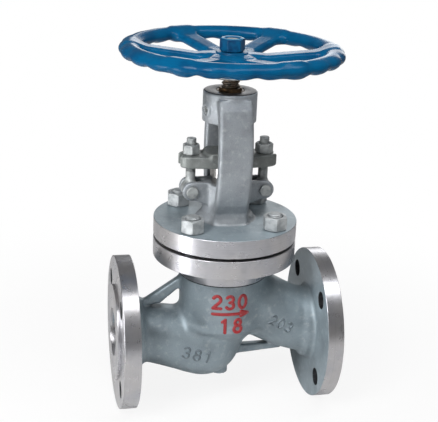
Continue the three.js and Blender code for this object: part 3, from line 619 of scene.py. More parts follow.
def grid_quads(rows, columns, around=True, tube=False):
    """Quads of a grid of points; around joins its last column to the first, tube its last row."""
    i = np.arange(rows if tube else rows - 1)[:, None]
    j = np.arange(columns if around else columns - 1)[None]
    here, down, right = i * columns, (i + 1) % rows * columns, (j + 1) % columns
    return np.stack([here + j, here + right, down + right, down + j], -1).reshape(-1, 4)


def eased(profile, ease, ring=False):
    """A profile with each corner rounded by a short curve between points on its two sides."""
    profile = [np.array(point, float) for point in profile]
    made = []
    for i, corner in enumerate(profile):
        if not ring and i in (0, len(profile) - 1):
            made.append(corner)
            continue
        before, after = profile[i - 1], profile[(i + 1) % len(profile)]
        starts = []
        for other in (before, after):
            gap = np.linalg.norm(other - corner)
            starts.append(corner + (other - corner) * min(ease / gap, 0.45))
        for t in (0, 0.5, 1):
            made.append((1 - t) ** 2 * starts[0] + 2 * t * (1 - t) * corner + t * t * starts[1])
    return np.array(made)


def turned(profile, sides=96, ring=False):
    """A profile of (radius, height) turned round the Z axis; a ring's profile closes on itself."""
    profile = np.asarray(profile, float)
    turn = 2 * np.pi * np.arange(sides) / sides
    radius, height = profile[:, :1], np.repeat(profile[:, 1:], sides, 1)
    points = np.stack([radius * np.cos(turn), radius * np.sin(turn), height], -1).reshape(-1, 3)
    return points, grid_quads(len(profile), sides, tube=ring)


def turned_ring(profile, ease=0.5, sides=RING_SIDES):
    """A closed profile with eased corners, turned round the Z axis."""
    return turned(eased(profile, ease, ring=True), sides, ring=True)


def together(*shapes):
    """Several shapes of points and quads as one."""
    starts = np.cumsum([0] + [len(points) for points, _ in shapes])
    quads = [quads + start for (_, quads), start in zip(shapes, starts)]
    return np.concatenate([points for points, _ in shapes]), np.concatenate(quads)


def moved(shape, *way):
    """A shape carried this way."""
    return shape[0] + way, shape[1]


def laid(shape, side):
    """A shape whose height ran along Z, laid so that it runs along X to this side."""
    a, b, height = shape[0].T
    return np.stack([side * height, a, b], 1), shape[1]


def bevel(made, width=0.7):
    """A small rounded bevel on a piece's sharp edges, with the width in millimetres."""
    eased_edges = made.modifiers.new("eased_edges", "BEVEL")
    eased_edges.width = width * MM
    eased_edges.segments = 2
    eased_edges.limit_method = "ANGLE"
    eased_edges.angle_limit = math.radians(50)
    eased_edges.harden_normals = True


flange_paint = cast_coat("flange_paint", (CAST_GREY, CAST_DARK, CAST_LIGHT), 0.35, worn=False)
# Painted shade: near black paint on the bolt hole walls and on the line under the neck collar, in place of
# the shade inside them.
painted_shade_dark = cast_coat("painted_shade_dark", (HOLE_DARK, CAST_DARK, STEEL_DARK), 0.2, worn=False)
turned_along_pipe = turned_coat("turned_along_pipe", 0)
turned_along_stem = turned_coat("turned_along_stem", 2)

for side, node in ((-1, "inlet_flange"), (1, "outlet_flange")):
    face = HALF_LENGTH - RAISED_FACE
    plate, kinds = holed_plate(
        PLATE_INNER, PIPE_FLANGE_RADIUS, PIPE_BOLT_CIRCLE, PIPE_BOLT_HOLE, FLANGE_BACK, face
    )
    bevel(piece(
        node + "_plate", laid(plate, side), [flange_paint, turned_along_pipe, painted_shade_dark],
        [node], marks=np.choose(kinds, (0, 1, 1, 2, 0)),
    ))
    raised = turned_ring([
        (BORE_RADIUS, HALF_LENGTH - 12), (BORE_RADIUS, HALF_LENGTH), (RAISED_FACE_RADIUS, HALF_LENGTH),
        (RAISED_FACE_RADIUS, face - 1), (RAISED_FACE_RADIUS - 4, HALF_LENGTH - 12),
    ])
    piece(node + "_raised_face", laid(raised, side), [turned_along_pipe])

plate, kinds = holed_plate(
    BODY_PLATE_INNER, flange_high[0], STUD_CIRCLE, STUD_HOLE, flange_low[2], flange_high[2]
)
bevel(piece(
    "body_flange_plate", plate, [flange_paint, turned_along_stem], ["body_flange"],
    marks=np.isin(kinds, (1, 2)),
))

# --- Collar under the body flange --------------------------------------------
# The flange's hub, turned bright down to a shallow step on the neck. A thin near-black
# ring just below the step is a painted shadow line.
COLLAR_STEP, COLLAR_DROP = 1.1, 19.0
SHADOW_LINE_STEP, SHADOW_LINE_HEIGHT = 0.35, 1.6


def collar(step, low, high):
    """A ring that stands out from the neck by this step, between two levels."""
    inner, outer = NECK_RADIUS - 2, NECK_RADIUS + step
    return turned_ring([(inner, low), (inner, high), (outer, high), (outer, low)], 0.4)


collar_low = flange_low[2] - COLLAR_DROP
hub = collar(COLLAR_STEP, collar_low, flange_low[2] + 1)
shadow_line_ring = collar(SHADOW_LINE_STEP, collar_low - SHADOW_LINE_HEIGHT, collar_low + 1)
piece(
    "neck_collar", together(hub, shadow_line_ring), [turned_along_stem, painted_shade_dark],
    marks=np.repeat((0, 1), (len(hub[1]), len(shadow_line_ring[1]))),
)

# --- Marks -------------------------------------------------------------------
# A flow arrow between two plain numbers on the neck, raised in the casting and
# brushed with red, and a cast number on each pipe's shoulder, painted darker than the
# casting as painted shade round its strokes.
MARK_RED = (0.32, 0.020, 0.024, 1.0)
NUMBER_GREY = (0.165, 0.200, 0.225, 1.0)
MARK_SINK = 0.5
MARK_STEP = 0.4


def arc(cx, cy, rx, ry, start, end, count=9):
    """Points along an elliptical arc between two angles in degrees."""
    turn = np.radians(np.linspace(start, end, count))
    return np.stack([cx + rx * np.cos(turn), cy + ry * np.sin(turn)], 1)


# Strokes of the numerals in a cell 0.6 wide and 1 high.
NUMERALS = {
    "0": [arc(0.3, 0.5, 0.26, 0.46, 0, 360, 17)],
    "1": [np.array([(0.14, 0.80), (0.32, 0.96), (0.32, 0.04)])],
    "2": [np.concatenate([arc(0.3, 0.70, 0.24, 0.26, 160, -30), [(0.05, 0.05), (0.56, 0.05)]])],
    "3": [arc(0.28, 0.73, 0.23, 0.23, 150, -90), arc(0.28, 0.27, 0.26, 0.24, 90, -150)],
    "8": [arc(0.3, 0.74, 0.20, 0.21, 0, 360, 15), arc(0.3, 0.27, 0.25, 0.25, 0, 360, 15)],
}


def numerals(text, centre_u, foot_v, height):
    """The strokes of a row of numerals, centred on one place."""
    pitch = height * 0.88
    left = centre_u - pitch * (len(text) - 1) / 2 - 0.3 * height
    return [
        stroke * height + (left + pitch * i, foot_v)
        for i, figure in enumerate(text)
        for stroke in NUMERALS[figure]
    ]


def stroke_relief(u, v, strokes, half, soft=0.6):
    """1 on the strokes and 0 away from them, by the distance to the nearest stroke."""
    away = np.sqrt(least(*(from_line(u, v, stroke) for stroke in strokes)))
    level = np.clip((half + soft - away) / (2 * soft), 0, 1)
    return level * level * (3 - 2 * level)


def raised_marks(strokes, spread, centre, slant, half, height):
    """Raised strokes laid on the marked side of the body casting, as a closed shell.

    A flat grid in front of the casting, which climbs by this slant, is carried inward by
    steps of the casting's own distance until it lies on the skin. It is then sunk a
    little, and lifted where the strokes run.
    """
    u, v = np.meshgrid(*(np.arange(-reach, reach, MARK_STEP) for reach in spread))
    level = math.sqrt(1 - slant * slant)
    flat = np.array(centre) + u[..., None] * (level, 0, slant) + v[..., None] * (-slant, 0, level)
    points = flat.reshape(-1, 3) - (0, 50, 0)
    for _ in range(60):
        points[:, 1] += body_outside(*points.T)
    out = slope(body_outside, points, 0.5)
    relief = stroke_relief(u, v, strokes, half).reshape(-1, 1)
    front = points + out * (relief * (height + MARK_SINK) - MARK_SINK)
    back = points - out * (MARK_SINK + 1)
    rows, columns = u.shape
    sheet = grid_quads(rows, columns, around=False)
    size = rows * columns
    rim = np.concatenate([
        np.arange(columns), np.arange(1, rows) * columns + columns - 1,
        size - 2 - np.arange(columns - 1), np.arange(rows - 2, 0, -1) * columns,
    ])
    after = np.roll(rim, -1)
    walls = np.stack([rim, after, after + size, rim + size], 1)
    return np.concatenate([front, back]), np.concatenate([sheet, sheet[:, ::-1] + size, walls[:, ::-1]])


def red_paint(place):
    """Brushed red, worn to grey paint along the tops of the strokes."""
    worn = noise(place, 2.4, 3.0, 0.7).rise(0.60, 0.74)
    return tint(MARK_RED, CAST_GREY, worn), 0.45 + 0.2 * worn, grain(noise(place, 1.0), 0.3, 0.2)


mark_red = coat("mark_red", {}, red_paint)
# Painted shade: the numbers take a darker grey than the casting, for the shade round their strokes.
number_shade_paint = cast_coat("number_shade_paint", (NUMBER_GREY, CAST_DARK, CAST_GREY), 0.4)
arrow = [np.array([(-18.0, 0.0), (18.0, 0.0)]), np.array([(11.0, 2.6), (18.0, 0.0), (11.0, -2.6)])]
neck_strokes = numerals("230", -1.0, 5.6, 15.0) + arrow + numerals("18", 1.2, -21.0, 15.5)
for name, paint, strokes, spread, centre, slant, half, height in (
    ("neck_marks", mark_red, neck_strokes, (27, 24), (0, 0, 34), 0.0, 1.55, 1.0),
    ("inlet_number", number_shade_paint, numerals("381", 0, -6.5, 13.0), (19, 9), (-31, 0, -15), -0.24, 0.9, 1.2),
    ("outlet_number", number_shade_paint, numerals("203", 0, -5.75, 11.5), (19, 9), (57, 0, 15), -0.47, 0.9, 1.2),
):
    marks = raised_marks(strokes, spread, centre, slant, half, height)
    piece(name, marks, [paint], crease=1.2)

# --- Bonnet and yoke ---------------------------------------------------------
# The bonnet is one steel casting: flange, stuffing box with two pairs of ears, and a
# yoke of two arms that carries the head. Its flange and the head's top are turned.
bonnet_low, bonnet_high = corners_of("bonnet")
BONNET_BOTTOM = flange_high[2] + 3.0
BONNET_TOP = BONNET_BOTTOM + 18.5
SPIGOT_RADIUS, SPIGOT_STEP = 47.4, 8.0
BOX_TOP = BONNET_TOP + 38.5
BOX_RADIUS, BOX_BORE = 24.0, 15.3
STEM_BORE, BUSH_DEPTH = 9.3, 12.3
HEAD_TOP = bonnet_high[2]
HEAD_BOTTOM = HEAD_TOP - 31.0
HEAD_RADIUS, HEAD_BORE = 27.0, 14.3
ARM_FOOT = BONNET_TOP + 12.0
ARM_END, ARM_THICK, ARM_BOW, ARM_HALF = 26.8, 12.0, 15.0, 17.0
PIN_X, PIN_Z = 37.5, BOX_TOP - 7.5
EAR_RADIUS, EAR_MIDDLE, EAR_HALF = 9.5, 9.3, 3.0
SCREW_TURN, SCREW_Z = math.radians(-160), HEAD_TOP - 18.0
BONNET_GREY = (0.315, 0.340, 0.365, 1.0)
BONNET_DARK = (0.045, 0.050, 0.053, 1.0)
BONNET_LIGHT = (0.56, 0.58, 0.60, 1.0)
HEAD_DARK = (0.035, 0.034, 0.036, 1.0)

# The side view of an arm bows outwards between its foot and the head.
share = np.linspace(0, 1, 13)
arm_line = ARM_END + ARM_BOW * np.maximum(np.sin(np.pi * share), 0) ** 0.7
arm_level = ARM_FOOT + (HEAD_TOP - 5 - ARM_FOOT) * share
ARM_SIDE = [(ARM_END - ARM_THICK, BONNET_TOP - 4), (ARM_END, BONNET_TOP - 4), *zip(arm_line, arm_level)]
ARM_SIDE += zip(arm_line[::-1] - ARM_THICK, arm_level[::-1])
EAR_ROOT = [
    (18, PIN_Z + 9.3), (PIN_X, PIN_Z + 9.5), (PIN_X, PIN_Z - 9.5), (PIN_X - 4, PIN_Z - 9.5), (18, PIN_Z - 16),
]


def bonnet_field(x, y, z):
    """Distance from the bonnet casting, without the outer ring of its flange."""
    upright, from_pin = np.hypot(x, y), np.hypot(np.abs(x) - PIN_X, z - PIN_Z)
    base = least(
        disc_between(upright, z, 46, BONNET_BOTTOM + 1, BONNET_TOP - SLAB_INSET),
        disc_between(upright, z, SPIGOT_RADIUS, bonnet_low[2] + SPIGOT_STEP, BONNET_BOTTOM + 4),
        disc_between(upright, z, 24, bonnet_low[2], BONNET_BOTTOM),
    )
    step = disc_between(upright, z, 28.5, BONNET_TOP - 6, BONNET_TOP + 4.5, 2.5)
    box = disc_between(upright, z, BOX_RADIUS, BONNET_TOP - 6, BOX_TOP, 1.0)
    arms = thick(flat_shape(np.abs(y), z, ARM_SIDE), x, ARM_HALF, 3.2)
    head = disc_between(upright, z, HEAD_RADIUS, HEAD_BOTTOM, HEAD_TOP - 0.4, 1.2)
    plan = np.minimum(from_pin - EAR_RADIUS, flat_shape(np.abs(x), z, EAR_ROOT))
    ears = thick(plan, np.abs(y) - EAR_MIDDLE, EAR_HALF, 1.1)
    ahead = x * math.cos(SCREW_TURN) + y * math.sin(SCREW_TURN)
    aside = y * math.cos(SCREW_TURN) - x * math.sin(SCREW_TURN)
    from_screw = np.hypot(aside, z - SCREW_Z)
    screw_boss = disc_between(from_screw, ahead, 7.0, 12, 28.5, 1.2)
    skin = blended(blended(blended(box, ears, 2.5), step, 6), base, 5)
    skin = blended(skin, arms, 5)
    skin = blended(skin, blended(head, screw_boss, 2.5), 2.2)
    hollow = least(
        upright - STEM_BORE,
        disc_between(upright, z, BOX_BORE, BONNET_TOP - 0.3, BOX_TOP + 6),
        disc_between(upright, z, BOX_BORE, bonnet_low[2] - 6, bonnet_low[2] + BUSH_DEPTH),
        disc_between(upright, z, HEAD_BORE, HEAD_BOTTOM - 6, HEAD_TOP + 6),
        disc_between(from_screw, ahead, 4.3, 12, 40),
        np.maximum(from_pin - 4.3, np.abs(y) - 16),
    )
    return cut_from(skin, hollow, 0.8)


def oil_and_painted_dark_reflection(place):
    """The head's turned top, near black for old oil and as a painted dark reflection, with the tool's rings.
    """
    rings = tool_lines(on_lathe(place)[0], 0.0, 0.9)
    colour = tint(HEAD_DARK, STEEL_DARK, 0.8 * rings.rise(0.5, 0.75))
    return colour, 0.30 + 0.2 * rings, grain(rings, 0.5, 0.15)


bonnet_paint = cast_coat("bonnet_paint", (BONNET_GREY, BONNET_DARK, BONNET_LIGHT), 0.7)
casting(
    "bonnet_casting", bonnet_field,
    (-49.3, -49.3, bonnet_low[2] - 1.2), (49.3, 49.3, HEAD_TOP + 1), 1.45, 3.5,
    [bonnet_paint], "bonnet",
)
plate, kinds = holed_plate(PLATE_INNER, flange_high[0], STUD_CIRCLE, 9.0, BONNET_BOTTOM, BONNET_TOP)
bevel(piece(
    "bonnet_flange_plate", plate, [flange_paint, turned_along_stem],
    marks=np.isin(kinds, (0, 2)),
))
head_steel = coat("head_steel", {"Metallic": 0.7}, oil_and_painted_dark_reflection)
head_top = turned_ring([
    (HEAD_BORE, HEAD_TOP - 3), (HEAD_BORE, HEAD_TOP), (HEAD_RADIUS - 1.2, HEAD_TOP),
    (HEAD_RADIUS - 0.5, HEAD_TOP - 0.8), (HEAD_RADIUS - 2, HEAD_TOP - 3),
], sides=96)
piece("head_top", head_top, [head_steel])

# --- Studs and nuts ----------------------------------------------------------
# Four M14 studs screwed into the body flange, with plain hexagon nuts on the bonnet.
# Both are zinc plated steel; the stud ends are rounded and stand just proud.
ZINC = (0.45, 0.47, 0.48, 1.0)
ZINC_DULL = (0.29, 0.31, 0.32, 1.0)
ZINC_DARK = (0.10, 0.105, 0.11, 1.0)
NUT_FLATS, NUT_SPINS = 22.0, (20, -10, -11, -6)
STUD_RADIUS, STUD_PITCH, STUD_THREAD = 7.0, 2.0, 0.9
NUT_RUN = 0.2


def plated_coat(name, bright, dull):
    """Zinc plate: cloudy, slightly crystalline, and dark where dirt gathers."""

    def paint(place):
        cloud = noise(place, 7.0, 3.0)
        fine = noise(place, 0.9, 3.0, 0.6)
        colour = tint(bright, dull, cloud.rise(0.38, 0.7))
        colour = tint(colour, ZINC_DARK, 0.55 * fine.rise(0.58, 0.8))
        return colour, 0.48 + 0.2 * cloud, grain(fine, 0.25, 0.12)

    return coat(name, {"Metallic": 0.55}, paint)


def hex_nut(flats, bore, low, high, centre, spin):
    """A hexagon nut: at each angle a closed profile up the bore, over the top and down the flat.

    The flat's distance from the axis is flats / 2 over the cosine of the angle from the
    flat's middle. Past the chamfer's circle it loses height at 30 degrees.
    """
    turn = 2 * np.pi * np.arange(60) / 60
    corner = flats / 2 / np.cos((turn + np.pi / 6) % (np.pi / 3) - np.pi / 6)
    chamfer = flats * 0.475
    drop = (corner - chamfer) * math.tan(math.radians(30))
    rows = (
        (bore, low + 1.2), (bore + 1.0, low), (chamfer, low), (corner, low + drop), (corner, high - drop),
        (chamfer, high), (bore + 1.3, high), (bore, high - 1.3),
    )
    radius, level = (np.stack([row[i] + 0 * turn for row in rows]) for i in (0, 1))
    turn = turn + math.radians(spin)
    points = np.stack([centre[0] + radius * np.cos(turn), centre[1] + radius * np.sin(turn), level], -1)
    return points.reshape(-1, 3), grid_quads(len(rows), len(turn), tube=True)


def threaded_bar(radius, pitch, depth, levels, fades, rounding, sides=36, rows_per_turn=8, start_turn=0.0):
    """A round bar with a right-hand thread and rounded ends.

    At each height and angle the radius dips by the depth times a flattened triangle
    wave of height / pitch - angle / 2 pi. The wave may fade in over a turn from the low
    end, and the high end rounds in over the last of the bar.
    """
    low, high = levels
    height = np.linspace(low, high, int((high - low) / pitch * rows_per_turn) + 1)[:, None]
    turn = 2 * np.pi * np.arange(sides)[None] / sides
    phase = (height / pitch - turn / (2 * np.pi) + start_turn) % 1
    wave = np.clip(1.7 * np.abs(2 * phase - 1) - 0.35, 0, 1)
    fade = np.clip((height - low) / pitch, 0, 1) if fades else 1.0
    near_end = np.clip((height - high + rounding) / rounding, 0, 1)
    limit = radius - rounding * (1 - np.sqrt(np.maximum(1 - near_end**2, 0)))
    bar = np.minimum(radius - depth * wave * fade, limit)
    points = np.stack([bar * np.cos(turn), bar * np.sin(turn), height + 0 * turn], -1)
    caps = [np.zeros((1, sides, 3)) + (0, 0, level) for level in levels]
    return np.concatenate([caps[0], points, caps[1]]).reshape(-1, 3), grid_quads(len(points) + 2, sides)


zinc_plate = plated_coat("zinc_plate", ZINC, ZINC_DULL)
for index, (place, spin) in enumerate(zip(stud_places, NUT_SPINS), 1):
    (*_, nut_foot), (*_, nut_top) = corners_of(f"bonnet_nut_{index}")
    (*_, stud_foot), (*_, stud_top) = corners_of(f"bonnet_stud_{index}")
    nut = hex_nut(NUT_FLATS, STUD_RADIUS + NUT_RUN, nut_foot, nut_top, place, spin)
    bevel(piece(f"nut_{index}", nut, [zinc_plate], [f"bonnet_nut_{index}"]), 0.35)
    stud = threaded_bar(
        STUD_RADIUS, STUD_PITCH, STUD_THREAD, (stud_foot, stud_top), False, 2.2, start_turn=index / 4
    )
    piece(
        f"stud_{index}", moved(stud, *place, 0), [zinc_plate], [f"bonnet_stud_{index}"]
    )

# --- Gland -------------------------------------------------------------------
# A cast gland flange pulls the follower down on the packing. Two eye bolts swing on
# pins in the bonnet's ears, stand in the flange's open slots, and carry its nuts.
gland_low, gland_high = corners_of("gland_flange")
GLAND_BOTTOM, GLAND_TOP = gland_low[2], gland_low[2] + 12.0
GLAND_END = 13.4
GLAND_WAIST = (14.0, 17.0)
GLAND_BORE, CROWN_RADIUS = 9.7, 25.5
SLOT_HALF = 5.7
EYE_RADIUS, EYE_HALF = 9.0, 6.0
BOLT_RADIUS, BOLT_PITCH, BOLT_THREAD = 5.0, 1.5, 0.75
GLAND_NUT_FLATS = 16.0
PIN_RADIUS, PIN_HEAD_RADIUS, PIN_HEAD = 4.0, 6.2, 3.5
GLAND_GREY = (0.200, 0.215, 0.210, 1.0)
GLAND_DARK = (0.040, 0.043, 0.042, 1.0)
GLAND_LIGHT = (0.38, 0.40, 0.39, 1.0)
BOLT_GREY = (0.40, 0.42, 0.42, 1.0)
BOLT_DULL = (0.25, 0.265, 0.27, 1.0)


def gland_field(x, y, z):
    """Distance from the gland flange: a waisted plate, its crown, the bore and two slots."""
    u, v = np.abs(x), np.abs(y)
    waist = flat_shape(u, v, [(-1, -1), (PIN_X, -1), (PIN_X, GLAND_END), GLAND_WAIST, (-1, GLAND_WAIST[1])])
    plan = np.minimum(np.hypot(u - PIN_X, v) - GLAND_END, waist)
    plate = thick(plan, z - (GLAND_BOTTOM + GLAND_TOP) / 2, (GLAND_TOP - GLAND_BOTTOM) / 2, 1.6)
    crown = disc_between(np.hypot(x, y), z, CROWN_RADIUS, GLAND_TOP - 4, gland_high[2], 1.8)
    crown = np.maximum(crown, v - GLAND_WAIST[1] + 0.3)
    slot = np.hypot(np.maximum(PIN_X - u, 0), v) - SLOT_HALF
    return cut_from(blended(plate, crown, 2.5), np.minimum(slot, np.hypot(x, y) - GLAND_BORE), 0.7)


def eye_field(x, y, z):
    """Distance from an eye bolt's eye and the root of its shank, with the pin's bore."""
    out = np.hypot(x, z)
    eye = disc_between(out, np.abs(y), EYE_RADIUS, -EYE_HALF, EYE_HALF, 1.0)
    shank = disc_between(np.hypot(x, y), z, BOLT_RADIUS - 0.1, 2, 19, 0.3)
    return cut_from(blended(eye, shank, 3.0), out - PIN_RADIUS - 0.3, 0.5)


gland_paint = cast_coat("gland_paint", (GLAND_GREY, GLAND_DARK, GLAND_LIGHT), 0.6)
casting(
    "gland_plate", gland_field, (-52, -18.6, GLAND_BOTTOM - 1.2), (52, 18.6, gland_high[2] + 1.2), 1.0, 2.5,
    [gland_paint], "gland_flange",
)
bolt_plate = plated_coat("bolt_plate", BOLT_GREY, BOLT_DULL)
eye = moved(cast_skin(eye_field, (-10.4, -7.4, -10.4), (10.4, 7.4, 20.4), 0.8), 0, 0, PIN_Z)

for side, hand in ((-1, "left"), (1, "right")):
    centre = (side * PIN_X, 0.0)
    (*_, bolt_top) = corners_of(f"eye_bolt_{hand}")[1]
    shank = threaded_bar(
        BOLT_RADIUS, BOLT_PITCH, BOLT_THREAD, (PIN_Z + 17, bolt_top), True, 1.2, 28, 7, side / 4
    )
    piece(
        f"eye_bolt_{hand}_turned", moved(together(eye, shank), *centre, 0), [bolt_plate],
        [f"eye_bolt_{hand}"], f"{hand}_eye_bolt", crease=1.0,
    )
    (*_, nut_foot), (*_, nut_top) = corners_of(f"gland_nut_{hand}")
    nut = hex_nut(GLAND_NUT_FLATS, BOLT_RADIUS + NUT_RUN, nut_foot, nut_top, centre, 7 + 11 * side)
    bevel(piece(
        f"gland_nut_{hand}_turned", nut, [bolt_plate], [f"gland_nut_{hand}"],
        f"{hand}_gland_nut",
    ), 0.3)
    front, back = (corner[1] for corner in corners_of(f"hinge_pin_{hand}"))
    points, quads = turned(eased([
        (0, front), (PIN_HEAD_RADIUS - 0.6, front), (PIN_HEAD_RADIUS, front + 0.8),
        (PIN_HEAD_RADIUS, front + PIN_HEAD), (PIN_RADIUS, front + PIN_HEAD), (PIN_RADIUS, back - 0.6),
        (PIN_RADIUS - 0.6, back), (0, back),
    ], 0.7), 48)
    pin = points[:, [0, 2, 1]] * (1, 1, -1) + (centre[0], 0, PIN_Z)
    piece(f"pin_{hand}", (pin, quads), [bolt_plate], [f"hinge_pin_{hand}"])

# --- Split pins --------------------------------------------------------------
# One half-round wire each through a hinge pin's tail, bent into an eye above it.
WIRE_RADIUS, WIRE_EYE, LEG_APART = 0.55, 2.1, 0.62


def wire_along(path, radius, sides=12):
    """A round wire along a path, with closed ends.

    At each point the section lies across the path's direction, on two axes that are
    carried along from the start.
    """
    ahead = np.gradient(path, axis=0)
    ahead /= np.linalg.norm(ahead, axis=1, keepdims=True)
    first = np.cross(ahead, (1.0, 0.0, 0.0))
    first /= np.linalg.norm(first, axis=1, keepdims=True)
    second = np.cross(ahead, first)
    turn = 2 * np.pi * np.arange(sides)[:, None] / sides
    rings = path[:, None] + radius * (first[:, None] * np.cos(turn) + second[:, None] * np.sin(turn))
    tips = [np.repeat(path[i][None, None], sides, 1) for i in (0, -1)]
    return np.concatenate([tips[0], rings, tips[1]]).reshape(-1, 3), grid_quads(len(path) + 2, sides)


for side, hand in ((-1, "left"), (1, "right")):
    low, high = corners_of(f"split_pin_{hand}")
    y, eye_z = (low[1] + high[1]) / 2, high[2] - 2.6
    bend = np.radians(np.linspace(-62, 242, 25))
    loop = np.stack([0 * bend, y + WIRE_EYE * np.cos(bend), eye_z + WIRE_EYE * np.sin(bend)], 1)
    legs = [np.array([(0, y + s * LEG_APART, low[2] + rise) for rise in (0.3, 4, 9)]) for s in (1, -1)]
    path = np.concatenate([legs[0], loop, legs[1][::-1]]) + (side * PIN_X, 0, 0)
    piece(
        f"split_pin_{hand}_wire", wire_along(path, WIRE_RADIUS), [bolt_plate],
        [f"split_pin_{hand}"], crease=1.0,
    )

# --- Set screw ---------------------------------------------------------------
# A socket screw in the head's boss that keeps the stem nut from turning.
SCREW_RADIUS, SOCKET_RADIUS = 4.0, 2.2
SCREW_IN, SCREW_OUT, SOCKET_FLOOR = 14.5, 27.6, 24.5
points, quads = turned(eased([
    (0, SCREW_IN), (SCREW_RADIUS, SCREW_IN), (SCREW_RADIUS, SCREW_OUT), (SOCKET_RADIUS, SCREW_OUT),
    (SOCKET_RADIUS, SOCKET_FLOOR), (0, SOCKET_FLOOR - 0.5),
], 0.4), 36)
aside, up, ahead = points.T
points = np.stack([
    ahead * math.cos(SCREW_TURN) - aside * math.sin(SCREW_TURN),
    ahead * math.sin(SCREW_TURN) + aside * math.cos(SCREW_TURN),
    up + SCREW_Z,
], 1)
piece("set_screw", (points, quads), [bolt_plate], ["stem_nut_screw"])

# --- Stem --------------------------------------------------------------------
# A 13 % chromium steel bar: ground where it runs in the packing, with a right-hand
# trapezoidal thread of 4 mm lead in the yoke, and a square and thread for the wheel.
stem_low, stem_high = corners_of("stem")
STEM_RADIUS, STEM_HEAD_RADIUS, STEM_HEAD = 9.0, 12.0, 6.0
STEM_LEAD, STEM_THREAD_DEPTH = 4.0, 1.6
STEM_THREAD_LOW, STEM_SHOULDER = 203.0, HEAD_TOP + 12.0
SQUARE_HIGH = 290.0
WHEEL_THREAD_RADIUS, WHEEL_THREAD_PITCH, WHEEL_THREAD_DEPTH = 7.0, 2.0, 0.95
SEAT_CONE = 4.0
STEM_STEEL = (0.42, 0.40, 0.37, 1.0)
STEM_RUST = (0.155, 0.085, 0.040, 1.0)
STEM_OIL = (0.060, 0.048, 0.038, 1.0)


def height_of(place):
    """How far up the stem's axis a place is, in metres."""
    return place.node("ShaderNodeSeparateXYZ", {}, {0: place}, 2)


def stem_steel(place):
    """Bright where it is ground, brown with old grease and a little rust on the thread."""
    on_thread = height_of(place).rise((STEM_THREAD_LOW - 6) * MM, STEM_THREAD_LOW * MM)
    blotch = noise(place, 5.0, 4.0, 0.65)
    fine = noise(place, 0.8)
    greased = tint(STEM_RUST, STEM_OIL, blotch.rise(0.42, 0.62))
    greased = tint(greased, STEM_STEEL, 0.55 * fine.rise(0.5, 0.72))
    colour = tint(STEM_STEEL, greased, on_thread * (0.55 + 0.45 * blotch))
    return colour, 0.22 + 0.25 * on_thread * blotch, grain(fine, 0.2, 0.08)


def square_bar(half, corner, low, high, sides=96):
    """A square bar with its corners turned off and both ends closed.

    At each angle it reaches half over the cosine of the angle from the flat's middle.
    """
    turn = 2 * np.pi * np.arange(sides) / sides
    reach = np.minimum(half / np.cos((turn + np.pi / 4) % (np.pi / 2) - np.pi / 4), corner)
    share, level = np.array([(0, low), (1, low), (1, high), (0, high)]).T[..., None]
    points = np.stack([share * reach * np.cos(turn), share * reach * np.sin(turn), level + 0 * turn], -1)
    return points.reshape(-1, 3), grid_quads(4, sides)


stem_coat = coat("stem_coat", {"Metallic": 0.85}, stem_steel)
back_seat = corners_of("backseat_bush")[0][2] + SEAT_CONE - 15.3
collar_foot, collar_top = back_seat - SEAT_CONE - 5, back_seat - SEAT_CONE
stem_foot, ground_top = stem_low[2], STEM_THREAD_LOW + 1
smooth_part = turned(eased([
    (0, stem_foot), (STEM_HEAD_RADIUS - 2, stem_foot), (STEM_HEAD_RADIUS, stem_foot + 2),
    (STEM_HEAD_RADIUS, stem_foot + STEM_HEAD), (STEM_RADIUS, stem_foot + STEM_HEAD),
    (STEM_RADIUS, collar_foot), (STEM_RADIUS + SEAT_CONE, collar_foot), (STEM_RADIUS + SEAT_CONE, collar_top),
    (STEM_RADIUS, back_seat), (STEM_RADIUS, ground_top), (0, ground_top),
], 0.5), 64)
thread_levels = (STEM_THREAD_LOW, STEM_SHOULDER)
thread = threaded_bar(STEM_RADIUS, STEM_LEAD, STEM_THREAD_DEPTH, thread_levels, True, 0.6, 48, 10)
square = square_bar(WHEEL_THREAD_RADIUS, STEM_RADIUS - 0.5, STEM_SHOULDER - 2, SQUARE_HIGH)
wheel_thread = threaded_bar(
    WHEEL_THREAD_RADIUS, WHEEL_THREAD_PITCH, WHEEL_THREAD_DEPTH, (SQUARE_HIGH - 1, stem_high[2]),
    False, 1.5, 40,
)
piece(
    "stem_turned", together(smooth_part, thread, square, wheel_thread), [stem_coat], ["stem"],
    "stem_and_wheel", crease=0.9,
)

# --- Stem nut ----------------------------------------------------------------
# An aluminium bronze bush in the head, turned all over, with a low collar on top.
NUT_BODY, NUT_COLLAR, NUT_BORE = 14.0, 11.5, 9.35
BRONZE = (0.15, 0.095, 0.050, 1.0)
BRONZE_DULL = (0.070, 0.045, 0.025, 1.0)


def bronze_paint(place):
    """Bronze gone brown in patches, with fine tool lines."""
    blotch = noise(place, 6.0, 3.0)
    colour = tint(BRONZE, BRONZE_DULL, blotch.rise(0.4, 0.68))
    return colour, 0.30 + 0.25 * blotch, grain(noise(place, 0.7), 0.2, 0.08)


bronze = coat("bronze", {"Metallic": 0.9}, bronze_paint)
(*_, nut_foot), (*_, nut_top) = corners_of("stem_nut")
seat = HEAD_TOP - 0.2
stem_nut = turned_ring([
    (NUT_BORE, nut_foot), (NUT_BODY, nut_foot), (NUT_BODY, seat), (NUT_COLLAR, seat),
    (NUT_COLLAR, nut_top), (NUT_BORE, nut_top),
], sides=72)
piece("stem_nut_turned", stem_nut, [bronze], ["stem_nut"])

